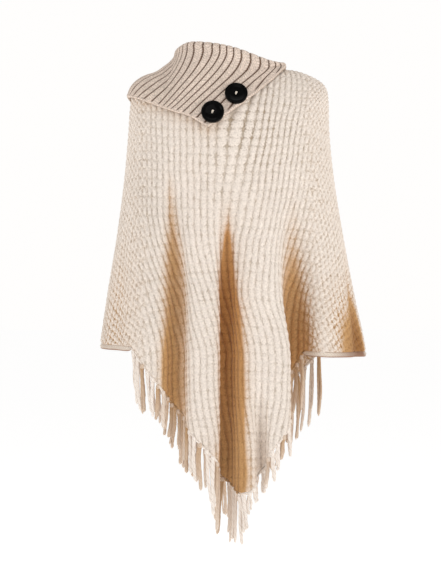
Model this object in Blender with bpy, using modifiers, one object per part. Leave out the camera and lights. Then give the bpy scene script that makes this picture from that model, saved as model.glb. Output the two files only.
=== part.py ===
"""Knitted poncho sweater, worn: two panels, ribbed fold-over collar, cuffs, buttons and fringes.

Metres, +Z up, the front of the poncho faces -Y. The origin is between the wearer's shoulders, at
the height where the cloth rests on them.
"""

import math
import random

import bmesh
import bpy
import numpy as np
from mathutils import Matrix, Vector
from mathutils.bvhtree import BVHTree

# Walls, seams and edgings
BODY_WALL = 0.004
COLLAR_WALL = 0.0045
SEAM_GAP = 0.0003
SLANT_GAP = 0.0005
NECK_GAP = 0.0007
END_GAP = 0.04  # share of a mesh column between the end of a cuff and that of a fringe strip
CUFF_DEPTH = 0.010
STRIP_DEPTH = 0.006

# Level of the side hems at the middle, and how much lower they hang for each metre to the right
CUFF_HEM_Z = -0.559
CUFF_HEM_SLOPE = -0.03

# Rings of the hanging cloth. Drop is measured down the front from the neck edge. A ring runs
# through its left, right, front and back points, each with its own height, and a higher "square"
# gives it fuller corners.
SECTION_COLUMNS = (
    "drop", "left", "right", "front", "back", "z_left", "z_right", "z_front", "z_back", "square"
)
SECTIONS = (
    (0.000, 0.120, 0.121, 0.096, 0.083, 0.003, 0.003, -0.030, 0.009, 2.00),
    (0.025, 0.139, 0.146, 0.108, 0.099, -0.010, -0.002, -0.055, -0.012, 2.05),
    (0.050, 0.163, 0.171, 0.118, 0.111, -0.018, -0.012, -0.080, -0.042, 2.10),
    (0.075, 0.181, 0.190, 0.126, 0.119, -0.031, -0.024, -0.105, -0.076, 2.15),
    (0.100, 0.189, 0.199, 0.132, 0.125, -0.047, -0.038, -0.130, -0.111, 2.20),
    (0.130, 0.193, 0.202, 0.137, 0.130, -0.074, -0.061, -0.160, -0.149, 2.25),
    (0.180, 0.196, 0.203, 0.143, 0.136, -0.123, -0.115, -0.210, -0.205, 2.30),
    (0.260, 0.204, 0.212, 0.150, 0.143, -0.215, -0.212, -0.290, -0.288, 2.30),
    (0.350, 0.219, 0.231, 0.157, 0.151, -0.330, -0.330, -0.380, -0.380, 2.25),
    (0.440, 0.238, 0.253, 0.163, 0.158, -0.445, -0.445, -0.470, -0.470, 2.20),
    (0.530, 0.254, 0.277, 0.168, 0.164, -0.560, -0.560, -0.560, -0.560, 2.20),
    (0.660, 0.258, 0.279, 0.167, 0.163, -0.690, -0.690, -0.690, -0.690, 2.20),
    (0.830, 0.260, 0.280, 0.163, 0.160, -0.860, -0.860, -0.860, -0.860, 2.20),
)

# Hanging folds, left to right. A fold is a valley whose floor lies at "place" along the ring from
# the middle, between two curved walls of the given cloth length. It starts to sink at z_start and
# has its whole depth at z_full.
FOLD_COLUMNS = (
    "place_top", "place_hem", "wall_left", "wall_right", "depth", "z_start", "z_full"
)
FRONT_FOLDS = (
    (-0.225, -0.240, 0.035, 0.040, 0.007, -0.30, -0.55),
    (-0.110, -0.100, 0.052, 0.056, 0.034, -0.19, -0.50),
    (0.000, -0.006, 0.048, 0.058, 0.037, -0.25, -0.48),
    (0.061, 0.067, 0.040, 0.038, 0.028, -0.58, -0.74),
    (0.128, 0.150, 0.105, 0.110, 0.080, -0.22, -0.57),
    (0.270, 0.290, 0.035, 0.030, 0.009, -0.35, -0.55),
)
BACK_FOLDS = (
    (-0.215, -0.235, 0.045, 0.040, 0.018, -0.25, -0.55),
    (-0.110, -0.118, 0.050, 0.055, 0.035, -0.20, -0.50),
    (-0.010, -0.008, 0.050, 0.055, 0.036, -0.26, -0.50),
    (0.090, 0.092, 0.085, 0.090, 0.060, -0.22, -0.56),
    (0.215, 0.235, 0.045, 0.045, 0.020, -0.28, -0.55),
)
FOLD_TOP_WALL = 0.45  # share of a fold's cloth that is there where it starts

# The point at the middle of each hem: where its tip lies along the ring, the cloth widths from
# the tip to where the level hems start, and how far the tip hangs below them.
POINT_COLUMNS = ("tip", "left", "right", "drop")
FRONT_POINT = (0.016, 0.281, 0.222, 0.270)
BACK_POINT = (0.000, 0.265, 0.285, 0.262)
TIP_ROUND = 0.040

# Mesh columns in the left cuff, left slant, right slant and right cuff, and mesh rows. Each column
# of a slant carries one strand of the fringe.
GRID_COLUMNS = {"front": (7, 25, 21, 9), "back": (6, 18, 18, 6)}
GRID_ROWS = {"front": 18, "back": 15}
ROW_CROWDING = 1.3  # above 1, the rows are closer together at the shoulders

# Collar stations from the slanted front end, round the left shoulder and the back, to the right
# shoulder: the crest of the fold-over, the middle and the outer edge of the fall, the roundness of
# the fold, and the place of the stand's foot round the neck edge, in degrees from the right.
COLLAR_COLUMNS = (
    "crest_x", "crest_y", "crest_z", "middle_x", "middle_y", "middle_z",
    "edge_x", "edge_y", "edge_z", "fold_radius", "foot"
)
COLLAR_STATIONS = (
    (0.112, -0.028, 0.012, 0.042, -0.120, -0.063, -0.037, -0.130, -0.126, 0.0050, 14.0),
    (0.078, -0.064, 0.014, -0.002, -0.116, -0.052, -0.072, -0.126, -0.103, 0.0070, 46.0),
    (0.021, -0.088, 0.032, -0.049, -0.113, -0.045, -0.109, -0.117, -0.090, 0.0085, 78.0),
    (-0.022, -0.088, 0.042, -0.085, -0.106, -0.035, -0.134, -0.104, -0.080, 0.0090, 101.0),
    (-0.068, -0.068, 0.048, -0.114, -0.082, -0.029, -0.171, -0.068, -0.064, 0.0090, 128.0),
    (-0.090, -0.034, 0.044, -0.122, -0.040, -0.012, -0.190, -0.028, -0.055, 0.0090, 158.0),
    (-0.094, 0.008, 0.040, -0.142, 0.004, -0.002, -0.199, 0.018, -0.052, 0.0090, 184.0),
    (-0.078, 0.047, 0.040, -0.125, 0.066, -0.016, -0.168, 0.086, -0.078, 0.0090, 212.0),
    (-0.042, 0.071, 0.039, -0.075, 0.108, -0.040, -0.104, 0.130, -0.116, 0.0090, 240.0),
    (0.006, 0.080, 0.036, -0.003, 0.120, -0.046, -0.012, 0.142, -0.130, 0.0090, 272.0),
    (0.056, 0.068, 0.031, 0.066, 0.108, -0.040, 0.078, 0.134, -0.116, 0.0080, 305.0),
    (0.106, 0.029, 0.018, 0.125, 0.076, -0.032, 0.142, 0.102, -0.088, 0.0050, 340.0),
)
RIBS = 36
RIB_HEIGHT = 0.0016
FALL_CLEARANCE = 0.0036
FALL_SHARES = (0.14, 0.29, 0.44, 0.58, 0.72, 0.86, 1.0)
CREST_TURNS = (180.0, 120.0, 60.0, 0.0)
CREST_SPREAD = 1.5  # how much more the fold faces front and back than straight out from the neck
CREST_HANG = 0.6  # how steeply the fall hangs down from the fold, before it turns to its edge
CREST_HANG_FADE = 4

# Buttons: place along the collar as a share of its ribs, and down the fall as a share of it
BUTTONS = {"button_lower": (0.040, 0.832), "button_upper": (0.049, 0.540)}
BUTTON_RADIUS = 0.022
BUTTON_THICKNESS = 0.008
BUTTON_RIM = 0.0045
BUTTON_DISH = 0.0025
BUTTON_HOLE_RADIUS = 0.0022
BUTTON_HOLE_OFFSET = 0.004
BUTTON_STEPS = 24
BUTTON_SEAM = 0.00005

# Profile of a button between the rim and the bottom: rim widths in from the edge, and the share
# of the thickness
BUTTON_EDGE = ((0.7, 1.0), (0.2, 0.8), (0.0, 0.5), (0.4, 0.1), (1.0, 0.0))
# Profile of its dish: rim widths in from the edge, and the share of the dish's depth
BUTTON_BOWL = ((2.2, 0.8), (1.3, 0.3))

# Fringe strands: their lengths at shares of the slanted hem, how unevenly they are cut, the share
# of a column that a root takes, their half widths, how far the two of a pair lean together, and
# their sway along the hem and across it with the turn of its wave from strand to strand
STRAND_LENGTHS = {
    "front": (
        (0.00, 0.104), (0.09, 0.078), (0.17, 0.060), (0.22, 0.098), (0.28, 0.090), (0.37, 0.116),
        (0.44, 0.112), (0.52, 0.094), (0.54, 0.062), (0.58, 0.030), (0.65, 0.036), (0.70, 0.052),
        (0.78, 0.050), (0.84, 0.080), (0.92, 0.110), (1.00, 0.100),
    ),
    "back": (
        (0.00, 0.090), (0.60, 0.090), (0.80, 0.110), (0.87, 0.140), (0.93, 0.140), (1.00, 0.122),
    ),
}
STRAND_SPREAD = 0.007
STRAND_SEEDS = {"front": 7, "back": 11}
STRAND_SHARE = 0.42
STRAND_HALF_ROOT = 0.0031
STRAND_HALF_TIP = 0.0026
STRAND_PAIR = 0.002
STRAND_SWAY = 0.005
STRAND_SWAY_TURN = 0.5
STRAND_SWAY_START = 0.8
STRAND_DRIFT = 0.0025
STRAND_DRIFT_TURN = 0.4
STRAND_JITTER = 0.001
STRAND_RINGS = 3

LEVEL_STEP = 0.005
WALL_SAMPLES = 24
RING_SAMPLES = 361

KNIT_COLOUR = (0.76, 0.65, 0.54, 1.0)
RIB_COLOUR = (0.70, 0.60, 0.50, 1.0)
BUTTON_COLOUR = (0.008, 0.008, 0.009, 1.0)


def table(columns, rows):
    """The columns of a table, by name."""
    values = np.array(rows, float)
    return {name: values[:, index] for index, name in enumerate(columns)}


def smooth_step(share):
    """A rise from 0 to 1 that starts and ends level."""
    share = np.clip(share, 0.0, 1.0)
    return share * share * (3.0 - 2.0 * share)


def curve_through(knots, values, place):
    """Cubic curve through the values at the knots, with the slopes of a Catmull-Rom spline."""
    slopes = np.gradient(values, knots)
    place = np.clip(place, knots[0], knots[-1])
    left = np.clip(np.searchsorted(knots, place, side="right") - 1, 0, len(knots) - 2)
    width = knots[left + 1] - knots[left]
    share = (place - knots[left]) / width
    rise = values[left + 1] - values[left]
    bend_left = slopes[left] * width - rise
    bend_right = rise - slopes[left + 1] * width
    arch = share * (1.0 - share)
    return values[left] + share * rise + arch * (bend_left * (1.0 - share) + bend_right * share)


def running_length(points):
    """Length along a line of points up to each of them."""
    steps = np.linalg.norm(np.diff(points, axis=0), axis=1)
    return np.concatenate(([0.0], np.cumsum(steps)))


def unit(vectors):
    return vectors / np.linalg.norm(vectors, axis=-1, keepdims=True)


def wall_curve(lean):
    """Side view of a fold's wall of length 1: it leans in by "lean" halfway and is level at its
    ends. Gives the way along the ring and the depth."""
    share = np.linspace(0.0, 1.0, WALL_SAMPLES + 1)
    turn = lean * np.sin(math.pi * share)
    step = 1.0 / WALL_SAMPLES
    along = np.cos(turn)
    down = np.sin(turn)
    along = np.concatenate(([0.0], np.cumsum(along[1:] + along[:-1]) * step / 2))
    down = np.concatenate(([0.0], np.cumsum(down[1:] + down[:-1]) * step / 2))
    return along, down


LEANS = np.linspace(0.0, 1.95, 80)
LEAN_DEPTHS = np.array([wall_curve(lean)[1][-1] for lean in LEANS])


def folded_line(folds, z, start, end):
    """Places along the plain ring and depths below it, for a ring with its folds at height z."""
    places = [np.array([start])]
    depths = [np.zeros(1)]
    for index in range(len(folds["depth"])):
        fold = {name: folds[name][index] for name in FOLD_COLUMNS}
        sunk = smooth_step((fold["z_start"] - z) / (fold["z_start"] - fold["z_full"]))
        if sunk <= 0.0:
            continue
        middle = fold["place_top"] + (fold["place_hem"] - fold["place_top"]) * sunk
        cloth = FOLD_TOP_WALL + (1.0 - FOLD_TOP_WALL) * sunk
        depth = fold["depth"] * sunk
        left, right = fold["wall_left"] * cloth, fold["wall_right"] * cloth
        left_along, left_down = wall_curve(np.interp(depth / left, LEAN_DEPTHS, LEANS))
        right_along, right_down = wall_curve(np.interp(depth / right, LEAN_DEPTHS, LEANS))
        mouth = middle - left * left_along[-1]
        plain = np.linspace(places[-1][-1], mouth, WALL_SAMPLES + 1)[1:-1]
        places += [plain, mouth + left * left_along]
        depths += [np.zeros(len(plain)), left * left_down]
        places.append(middle + right * (right_along[-1] - right_along[::-1])[1:])
        depths.append((right * right_down[::-1])[1:])
    plain = np.linspace(places[-1][-1], end, 2 * WALL_SAMPLES)[1:]
    return np.concatenate(places + [plain]), np.concatenate(depths + [np.zeros(len(plain))])


def half_ring(drop, side, folds):
    """Points of the front or back half of one ring, from the left seam to the right one."""
    sections = table(SECTION_COLUMNS, SECTIONS)
    row = {
        name: curve_through(sections["drop"], sections[name], drop) for name in SECTION_COLUMNS
    }
    turn = np.linspace(math.pi, 0.0, RING_SAMPLES)
    across, out = np.cos(turn), np.sin(turn)
    power = 2.0 / row["square"]
    half = np.where(across < 0.0, row["left"], row["right"])
    side_z = np.where(across < 0.0, row["z_left"], row["z_right"])
    facing = -1.0 if side == "front" else 1.0
    x = half * np.sign(across) * np.abs(across) ** power
    y = facing * row[side] * np.abs(out) ** power
    z = side_z + (row["z_" + side] - side_z) * out**2
    plain = np.stack([x, y, z], axis=1)
    length = running_length(plain[:, :2])
    length -= length[RING_SAMPLES // 2]
    flat_tangent = unit(np.gradient(plain[:, :2], axis=0))
    places, depths = folded_line(folds, row["z_" + side], length[0], length[-1])
    ring = np.stack([np.interp(places, length, plain[:, axis]) for axis in range(3)], axis=1)
    inward_x = -facing * -np.interp(places, length, flat_tangent[:, 1])
    inward_y = -facing * np.interp(places, length, flat_tangent[:, 0])
    ring[:, 0] += inward_x * depths
    ring[:, 1] += inward_y * depths
    return ring, places


class Cloth:
    """One hanging panel: a lattice of levels down and shares of the cloth's width across."""

    def __init__(self, side, shares):
        self.side = side
        self.folds = table(FOLD_COLUMNS, FRONT_FOLDS if side == "front" else BACK_FOLDS)
        self.drops = np.arange(0.0, SECTIONS[-1][0] + LEVEL_STEP / 2, LEVEL_STEP)
        self.shares = np.asarray(shares)
        points, tangents = [], []
        for drop in self.drops:
            ring, _ = half_ring(drop, side, self.folds)
            length = running_length(ring)
            tangent = unit(np.gradient(ring, axis=0))
            where = self.shares * length[-1]
            points.append([np.interp(where, length, ring[:, axis]) for axis in range(3)])
            tangents.append([np.interp(where, length, tangent[:, axis]) for axis in range(3)])
        self.points = np.swapaxes(np.array(points), 1, 2)
        down = np.gradient(self.points, axis=0)
        normals = unit(np.cross(np.swapaxes(np.array(tangents), 1, 2), down))
        self.normals = normals if side == "back" else -normals

    def drop_at(self, heights):
        """The drop at which each column reaches its height."""
        columns = range(len(self.shares))
        return np.array([
            np.interp(-heights[i], -self.points[:, i, 2], self.drops) for i in columns
        ])

    def at(self, drops):
        """Outer points and outward normals of each column at its drop."""
        level = np.clip(drops / LEVEL_STEP, 0.0, len(self.drops) - 1.001)
        low = level.astype(int)
        share = (level - low)[:, None]
        column = np.arange(len(self.shares))
        points = self.points[low, column] * (1 - share) + self.points[low + 1, column] * share
        normals = self.normals[low, column] * (1 - share) + self.normals[low + 1, column] * share
        return points, unit(normals)


def point_rule(side):
    """Where the slanted hem lies across the panel: shares of the left start, tip and right start,
    and the cloth's width at the hem."""
    folds = table(FOLD_COLUMNS, FRONT_FOLDS if side == "front" else BACK_FOLDS)
    point = dict(zip(POINT_COLUMNS, FRONT_POINT if side == "front" else BACK_POINT))
    sections = table(SECTION_COLUMNS, SECTIONS)
    hem_drop = np.interp(-CUFF_HEM_Z, -sections["z_front"], sections["drop"])
    ring, places = half_ring(hem_drop, side, folds)
    length = running_length(ring)
    tip = np.interp(point["tip"], places, length)
    width = length[-1]
    return (tip - point["left"]) / width, tip / width, (tip + point["right"]) / width, width


def hem_height(side, cloth):
    """Lower edge of the knit: level above the cuffs, and slanted to the tip between them."""
    point = dict(zip(POINT_COLUMNS, FRONT_POINT if side == "front" else BACK_POINT))
    _, tip, _, width = point_rule(side)
    aside = (cloth.shares - tip) * width
    half = np.where(aside < 0.0, point["left"], point["right"])
    aside = np.minimum(np.abs(aside), half)
    rise = (np.hypot(aside, TIP_ROUND) - TIP_ROUND) / (np.hypot(half, TIP_ROUND) - TIP_ROUND)
    level = CUFF_HEM_Z + CUFF_DEPTH
    x = cloth.at(cloth.drop_at(np.full(len(aside), level)))[0][:, 0]
    return level + CUFF_HEM_SLOPE * x - point["drop"] * (1.0 - rise)


def spread(stops, counts):
    """Values from stop to stop, with the given number of steps in each stretch."""
    values = [np.linspace(a, b, n + 1)[:-1] for a, b, n in zip(stops, stops[1:], counts)]
    return np.concatenate(values + [stops[-1:]])


def material(name, colour, roughness):
    shader = bpy.data.materials.new(name)
    shader.use_nodes = True
    principled = shader.node_tree.nodes["Principled BSDF"]
    principled.inputs["Base Color"].default_value = colour
    principled.inputs["Roughness"].default_value = roughness
    principled.inputs["Metallic"].default_value = 0.0
    shader.diffuse_color = colour
    return shader


def new_object(name, mesh, shader, collection):
    thing = bpy.data.objects.new(name, mesh)
    mesh.materials.append(shader)
    mesh.shade_smooth()
    mesh.set_sharp_from_angle(angle=math.radians(45))
    collection.objects.link(thing)
    return thing


def facing_out(mesh):
    """Turns the faces of a closed mesh outward."""
    shell = bmesh.new()
    shell.from_mesh(mesh)
    bmesh.ops.recalc_face_normals(shell, faces=shell.faces)
    if shell.calc_volume(signed=True) < 0:
        bmesh.ops.reverse_faces(shell, faces=shell.faces)
    shell.to_mesh(mesh)
    shell.free()


def wall(name, face, lining, shader, collection):
    """A closed wall between two grids of points, rows by columns."""
    rows, columns = face.shape[:2]
    count = rows * columns
    points = np.concatenate([face.reshape(-1, 3), lining.reshape(-1, 3)])
    faces = []

    def corner(row, column, layer):
        return layer * count + row * columns + column

    for row in range(rows - 1):
        for column in range(columns - 1):
            near = [(row, column), (row, column + 1), (row + 1, column + 1), (row + 1, column)]
            faces.append([corner(r, c, 0) for r, c in near])
            faces.append([corner(r, c, 1) for r, c in reversed(near)])
    rim = [(0, c) for c in range(columns)] + [(r, columns - 1) for r in range(1, rows)]
    rim += [(rows - 1, c) for c in range(columns - 2, -1, -1)]
    rim += [(r, 0) for r in range(rows - 2, 0, -1)]
    for here, there in zip(rim, rim[1:] + rim[:1]):
        faces.append([corner(*here, 1), corner(*there, 1), corner(*there, 0), corner(*here, 0)])
    mesh = bpy.data.meshes.new(name)
    mesh.from_pydata(points.tolist(), [], faces)
    facing_out(mesh)
    return new_object(name, mesh, shader, collection)


def panel_cloth(side):
    """The cloth of a panel at its mesh columns, and the heights of its hem there."""
    start, tip, end, width = point_rule(side)
    inset = SEAM_GAP / 2 / width
    cloth = Cloth(side, spread(np.array([inset, start, tip, end, 1.0 - inset]), GRID_COLUMNS[side]))
    return cloth, hem_height(side, cloth)


def make_panel(side, shader, collection):
    """A panel from the neck edge to its hem."""
    cloth, hem = panel_cloth(side)
    hem_drop = cloth.drop_at(hem)
    outer, inner = [], []
    for share in np.linspace(0.0, 1.0, GRID_ROWS[side] + 1) ** ROW_CROWDING:
        points, normals = cloth.at(hem_drop * share)
        normals[[0, -1], 1] = 0.0
        outer.append(points)
        inner.append(points - unit(normals) * BODY_WALL)
    wall(side + "_panel", np.array(outer), np.array(inner), shader, collection)
    return np.array(outer)


def edging_points(side, columns, top, bottom):
    """Outer and inner points at two depths under the hem of a panel, at places along its mesh
    columns. They lie on the straight chords between the columns, as the hem does."""
    cloth, hem = panel_cloth(side)
    outer, inner = [], []
    for depth in (top, bottom):
        points, normals = cloth.at(cloth.drop_at(hem - depth))
        for layer, grid in ((points, outer), (points - normals * BODY_WALL, inner)):
            chord = [np.interp(columns, range(len(hem)), layer[:, axis]) for axis in range(3)]
            grid.append(np.stack(chord, axis=1))
    return np.array(outer), np.array(inner)


def make_cuff(hand, shader, collection):
    """Edging band along the level hem, round one side from the front slant to the back slant."""
    stretches = []
    for side in ("front", "back"):
        counts = GRID_COLUMNS[side]
        if hand == "left":
            columns = np.arange(counts[0], -1.0, -1.0)
            columns[0] -= END_GAP
        else:
            columns = np.arange(sum(counts[:3]), sum(counts) + 1.0)
            columns[0] += END_GAP
        stretches.append(edging_points(side, columns, SEAM_GAP, CUFF_DEPTH))
    (front_outer, front_inner), (back_outer, back_inner) = stretches
    outer = np.concatenate([front_outer, back_outer[:, -2::-1]], axis=1)
    inner = np.concatenate([front_inner, back_inner[:, -2::-1]], axis=1)
    return wall("cuff_" + hand, outer, inner, shader, collection)


def strand_rings(root, index, share, side, chance):
    """Squares down a strand that hangs from its root."""
    length = np.interp(share, *zip(*STRAND_LENGTHS[side]))
    length += chance.uniform(-STRAND_SPREAD, STRAND_SPREAD)
    sway = STRAND_SWAY * math.sin(STRAND_SWAY_TURN * index + STRAND_SWAY_START)
    sway += STRAND_PAIR if index % 2 == 0 else -STRAND_PAIR
    sway += chance.uniform(-STRAND_JITTER, STRAND_JITTER)
    drift = STRAND_DRIFT * math.sin(STRAND_DRIFT_TURN * index)
    centre = sum(root, Vector()) / 4
    across = (root[3] + root[2] - root[0] - root[1]) / 2
    across.z = 0.0
    across.normalize()
    inward = Vector((-across.y, across.x, 0.0))
    if inward.dot(root[1] - root[0]) < 0.0:
        inward.negate()
    for ring in range(1, STRAND_RINGS + 1):
        down = ring / STRAND_RINGS
        half = STRAND_HALF_ROOT + (STRAND_HALF_TIP - STRAND_HALF_ROOT) * down
        place = centre + Vector((sway * down**2, drift * down**2, -length * down))
        yield [
            place - across * half - inward * half,
            place - across * half + inward * half,
            place + across * half + inward * half,
            place + across * half - inward * half,
        ]


def make_fringe(side, shader, collection):
    """A narrow strip under the slanted hem with strands that hang from it, as one body."""
    counts = GRID_COLUMNS[side]
    first, last = counts[0], sum(counts[:3])
    columns = np.arange(first, last + 1.0)
    columns[0] += END_GAP
    columns[-1] -= END_GAP
    middles = np.arange(first, last) + 0.5
    fringe = bmesh.new()

    def corners(places):
        outer, inner = edging_points(side, places, SLANT_GAP, STRIP_DEPTH)
        return [
            [fringe.verts.new(place) for place in (outer[0, i], inner[0, i], inner[1, i], outer[1, i])]
            for i in range(len(places))
        ]

    loops = corners(columns)
    near, far = corners(middles - STRAND_SHARE / 2), corners(middles + STRAND_SHARE / 2)
    fringe.faces.new(loops[0])
    fringe.faces.new(reversed(loops[-1]))
    roots = []
    for here, there, a, b in zip(loops, loops[1:], near, far):
        fringe.faces.new((here[0], here[1], there[1], there[0]))
        fringe.faces.new((here[1], here[2], a[2], b[2], there[2], there[1]))
        fringe.faces.new((here[3], here[0], there[0], there[3], b[3], a[3]))
        fringe.faces.new((here[3], here[2], a[2], a[3]))
        fringe.faces.new((b[3], b[2], there[2], there[3]))
        roots.append(fringe.faces.new((a[3], a[2], b[2], b[3])))
    loose = [vert for vert in fringe.verts if not vert.link_faces]
    bmesh.ops.delete(fringe, geom=loose, context="VERTS")
    chance = random.Random(STRAND_SEEDS[side])
    for index, face in enumerate(roots):
        root = [vert.co.copy() for vert in face.verts]
        for ring in strand_rings(root, index, index / len(roots), side, chance):
            face = bmesh.ops.extrude_discrete_faces(fringe, faces=[face])["faces"][0]
            for vert, place in zip(face.verts, ring):
                vert.co = place
    mesh = bpy.data.meshes.new("fringe_" + side)
    fringe.to_mesh(mesh)
    fringe.free()
    facing_out(mesh)
    return new_object("fringe_" + side, mesh, shader, collection)


def neck_edge(degrees):
    """Outer point of the neck edge, the way up the cloth there and its outward normal."""
    points = []
    for drop in (0.0, LEVEL_STEP):
        sections = table(SECTION_COLUMNS, SECTIONS)
        row = {
            name: curve_through(sections["drop"], sections[name], drop)
            for name in SECTION_COLUMNS
        }
        turn = math.radians(degrees)
        across, out = math.cos(turn), math.sin(turn)
        side = "front" if out > 0.0 else "back"
        hand = "right" if across > 0.0 else "left"
        side_z = row["z_" + hand]
        z = side_z + (row["z_" + side] - side_z) * out**2
        y = row[side] * abs(out) * (-1.0 if side == "front" else 1.0)
        points.append(np.array([row[hand] * across, y, z]))
    upward = unit(points[0] - points[1])
    tangent = unit(np.array([-points[0][1], points[0][0], 0.0]))
    normal = unit(np.cross(tangent, upward))
    flat = np.array([points[0][0], points[0][1], 0.0])
    return points[0], upward, normal if normal.dot(flat) > 0 else -normal


def lift_off(points, body, clearance):
    """Moves points that lie inside the body or near it out to the clearance."""
    lifted = []
    for place in points.reshape(-1, 3):
        place = Vector(place)
        for _ in range(3):
            nearest, normal, _, _ = body.find_nearest(place)
            height = (place - nearest).dot(normal)
            if height < clearance:
                place = place + normal * (clearance - height)
        lifted.append(place)
    return np.array(lifted).reshape(points.shape)


def collar_face(columns, body):
    """Visible face of the collar: rows from the stand's foot, over the crest, to the outer edge."""
    stations = table(COLLAR_COLUMNS, COLLAR_STATIONS)
    knots = np.linspace(0.0, 1.0, len(COLLAR_STATIONS))
    rows = []
    for share in columns:
        row = {name: curve_through(knots, stations[name], share) for name in COLLAR_COLUMNS}
        crest = np.array([row["crest_x"], row["crest_y"], row["crest_z"]])
        edge = np.array([row["edge_x"], row["edge_y"], row["edge_z"]])
        radius = row["fold_radius"]
        middle = np.array([row["middle_x"], row["middle_y"], row["middle_z"]])
        out = unit(np.array([crest[0], crest[1] * CREST_SPREAD, 0.0]))
        rise = np.array([0.0, 0.0, 1.0])
        foot, upward, normal = neck_edge(row["foot"])
        foot = foot + upward * NECK_GAP - normal * COLLAR_WALL
        hub = crest - rise * radius
        turns = np.radians(CREST_TURNS)
        arch = [hub + radius * (math.cos(turn) * out + math.sin(turn) * rise) for turn in turns]
        start = arch[-1]
        pull = 2 * middle - (start + edge) / 2
        slope = 2 * (pull - start)
        hang = -rise * CREST_HANG * np.linalg.norm(slope) - slope
        fall = [
            (1 - v) ** 2 * start + 2 * v * (1 - v) * pull + v**2 * edge
            + v * (1 - v) ** CREST_HANG_FADE * hang
            for v in FALL_SHARES
        ]
        rows.append([foot, (foot + arch[0]) / 2] + arch + fall)
    face = np.swapaxes(np.array(rows), 0, 1)
    fall_row = 2 + len(CREST_TURNS)
    face[fall_row:] = lift_off(face[fall_row:], body, COLLAR_WALL + FALL_CLEARANCE)
    return face


def grid_normals(face):
    """Outward normals of the collar's visible face."""
    along = np.gradient(face, axis=1)
    down = np.gradient(face, axis=0)
    return unit(np.cross(along, down))


def outer_surface(grids):
    """Search tree of the outer faces of the panels, which all face out."""
    points, faces = [], []
    for grid, turned in grids:
        base, columns = len(points), grid.shape[1]
        points += [Vector(point) for point in grid.reshape(-1, 3)]
        for row in range(grid.shape[0] - 1):
            for column in range(columns - 1):
                first = base + row * columns + column
                face = [first, first + columns, first + columns + 1, first + 1]
                faces.append(face[::-1] if turned else face)
    return BVHTree.FromPolygons(points, faces)


def make_collar(front, back, shader, collection):
    """The ribbed collar. Its ribs are raised in the visible face, over a plain underside."""
    body = outer_surface(((front, False), (back, True)))
    columns = np.linspace(0.0, 1.0, 2 * RIBS + 1)
    face = collar_face(columns, body)
    normals = grid_normals(face)
    underside = face - normals * COLLAR_WALL
    stations = table(COLLAR_COLUMNS, COLLAR_STATIONS)
    knots = np.linspace(0.0, 1.0, len(COLLAR_STATIONS))
    for index, share in enumerate(columns):
        foot, upward, _ = neck_edge(curve_through(knots, stations["foot"], share))
        underside[0, index] = foot + upward * NECK_GAP
    raised = np.zeros(face.shape[:2])
    raised[2:, 1::2] = RIB_HEIGHT
    ribbed = face + normals * raised[:, :, None]
    wall("collar", ribbed, underside, shader, collection)
    return face, normals


def make_button(name, place, face, normals, shader, collection):
    """A dished round button with two holes, seated on the crests of the ribs under it."""
    along, down = place
    column = along * (face.shape[1] - 1)
    first_row = 1 + len(CREST_TURNS)
    fall_rows = np.array((0.0,) + FALL_SHARES)
    row = first_row + np.interp(down, fall_rows, range(len(fall_rows)))
    r, c = int(row), int(column)
    u, v = row - r, column - c

    def blend(grid):
        top = grid[r, c] * (1 - v) + grid[r, c + 1] * v
        low = grid[r + 1, c] * (1 - v) + grid[r + 1, c + 1] * v
        return top * (1 - u) + low * u

    centre, normal = blend(face), unit(blend(normals))
    raised = face + normals * RIB_HEIGHT
    offset = raised.reshape(-1, 3) - centre
    height = offset @ normal
    aside = np.linalg.norm(offset - height[:, None] * normal, axis=1)
    seat = height[aside < BUTTON_RADIUS + BUTTON_RIM].max() + SEAM_GAP
    profile = [(0.0, BUTTON_THICKNESS - BUTTON_DISH)]
    for rims, share in BUTTON_BOWL:
        profile.append((BUTTON_RADIUS - rims * BUTTON_RIM, BUTTON_THICKNESS - share * BUTTON_DISH))
    for rims, share in BUTTON_EDGE:
        profile.append((BUTTON_RADIUS - rims * BUTTON_RIM, share * BUTTON_THICKNESS))
    profile.append((0.0, 0.0))
    mesh = bpy.data.meshes.new(name)
    edges = [(i, i + 1) for i in range(len(profile) - 1)]
    mesh.from_pydata([(x, 0.0, z) for x, z in profile], edges, [])
    button = bpy.data.objects.new(name, mesh)
    mesh.materials.append(shader)
    collection.objects.link(button)
    turned = button.modifiers.new("turned", "SCREW")
    turned.steps = turned.render_steps = BUTTON_STEPS
    turned.use_merge_vertices = True
    turned.merge_threshold = BUTTON_SEAM
    turned.use_smooth_shade = True
    lean = Vector(normal).to_track_quat("Z", "X").to_matrix().to_4x4()
    frame = Matrix.Translation(Vector(centre + normal * seat)) @ lean
    button.matrix_world = frame
    for sign in (-1, 1):
        drill = make_drill(name, sign, frame)
        hole = button.modifiers.new("hole", "BOOLEAN")
        hole.operation = "DIFFERENCE"
        hole.object = drill
    return button


def make_drill(name, sign, frame):
    """A hidden round cutter through one of a button's holes."""
    bpy.ops.mesh.primitive_cylinder_add(
        vertices=10, radius=BUTTON_HOLE_RADIUS, depth=4 * BUTTON_THICKNESS
    )
    drill = bpy.context.active_object
    drill.name = name + "_drill"
    drill.matrix_world = frame @ Matrix.Translation((0.0, sign * BUTTON_HOLE_OFFSET, 0.0))
    drill.hide_render = True
    drill.display_type = "WIRE"
    for collection in list(drill.users_collection):
        collection.objects.unlink(drill)
    bpy.data.collections["cutters"].objects.link(drill)
    return drill


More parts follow.
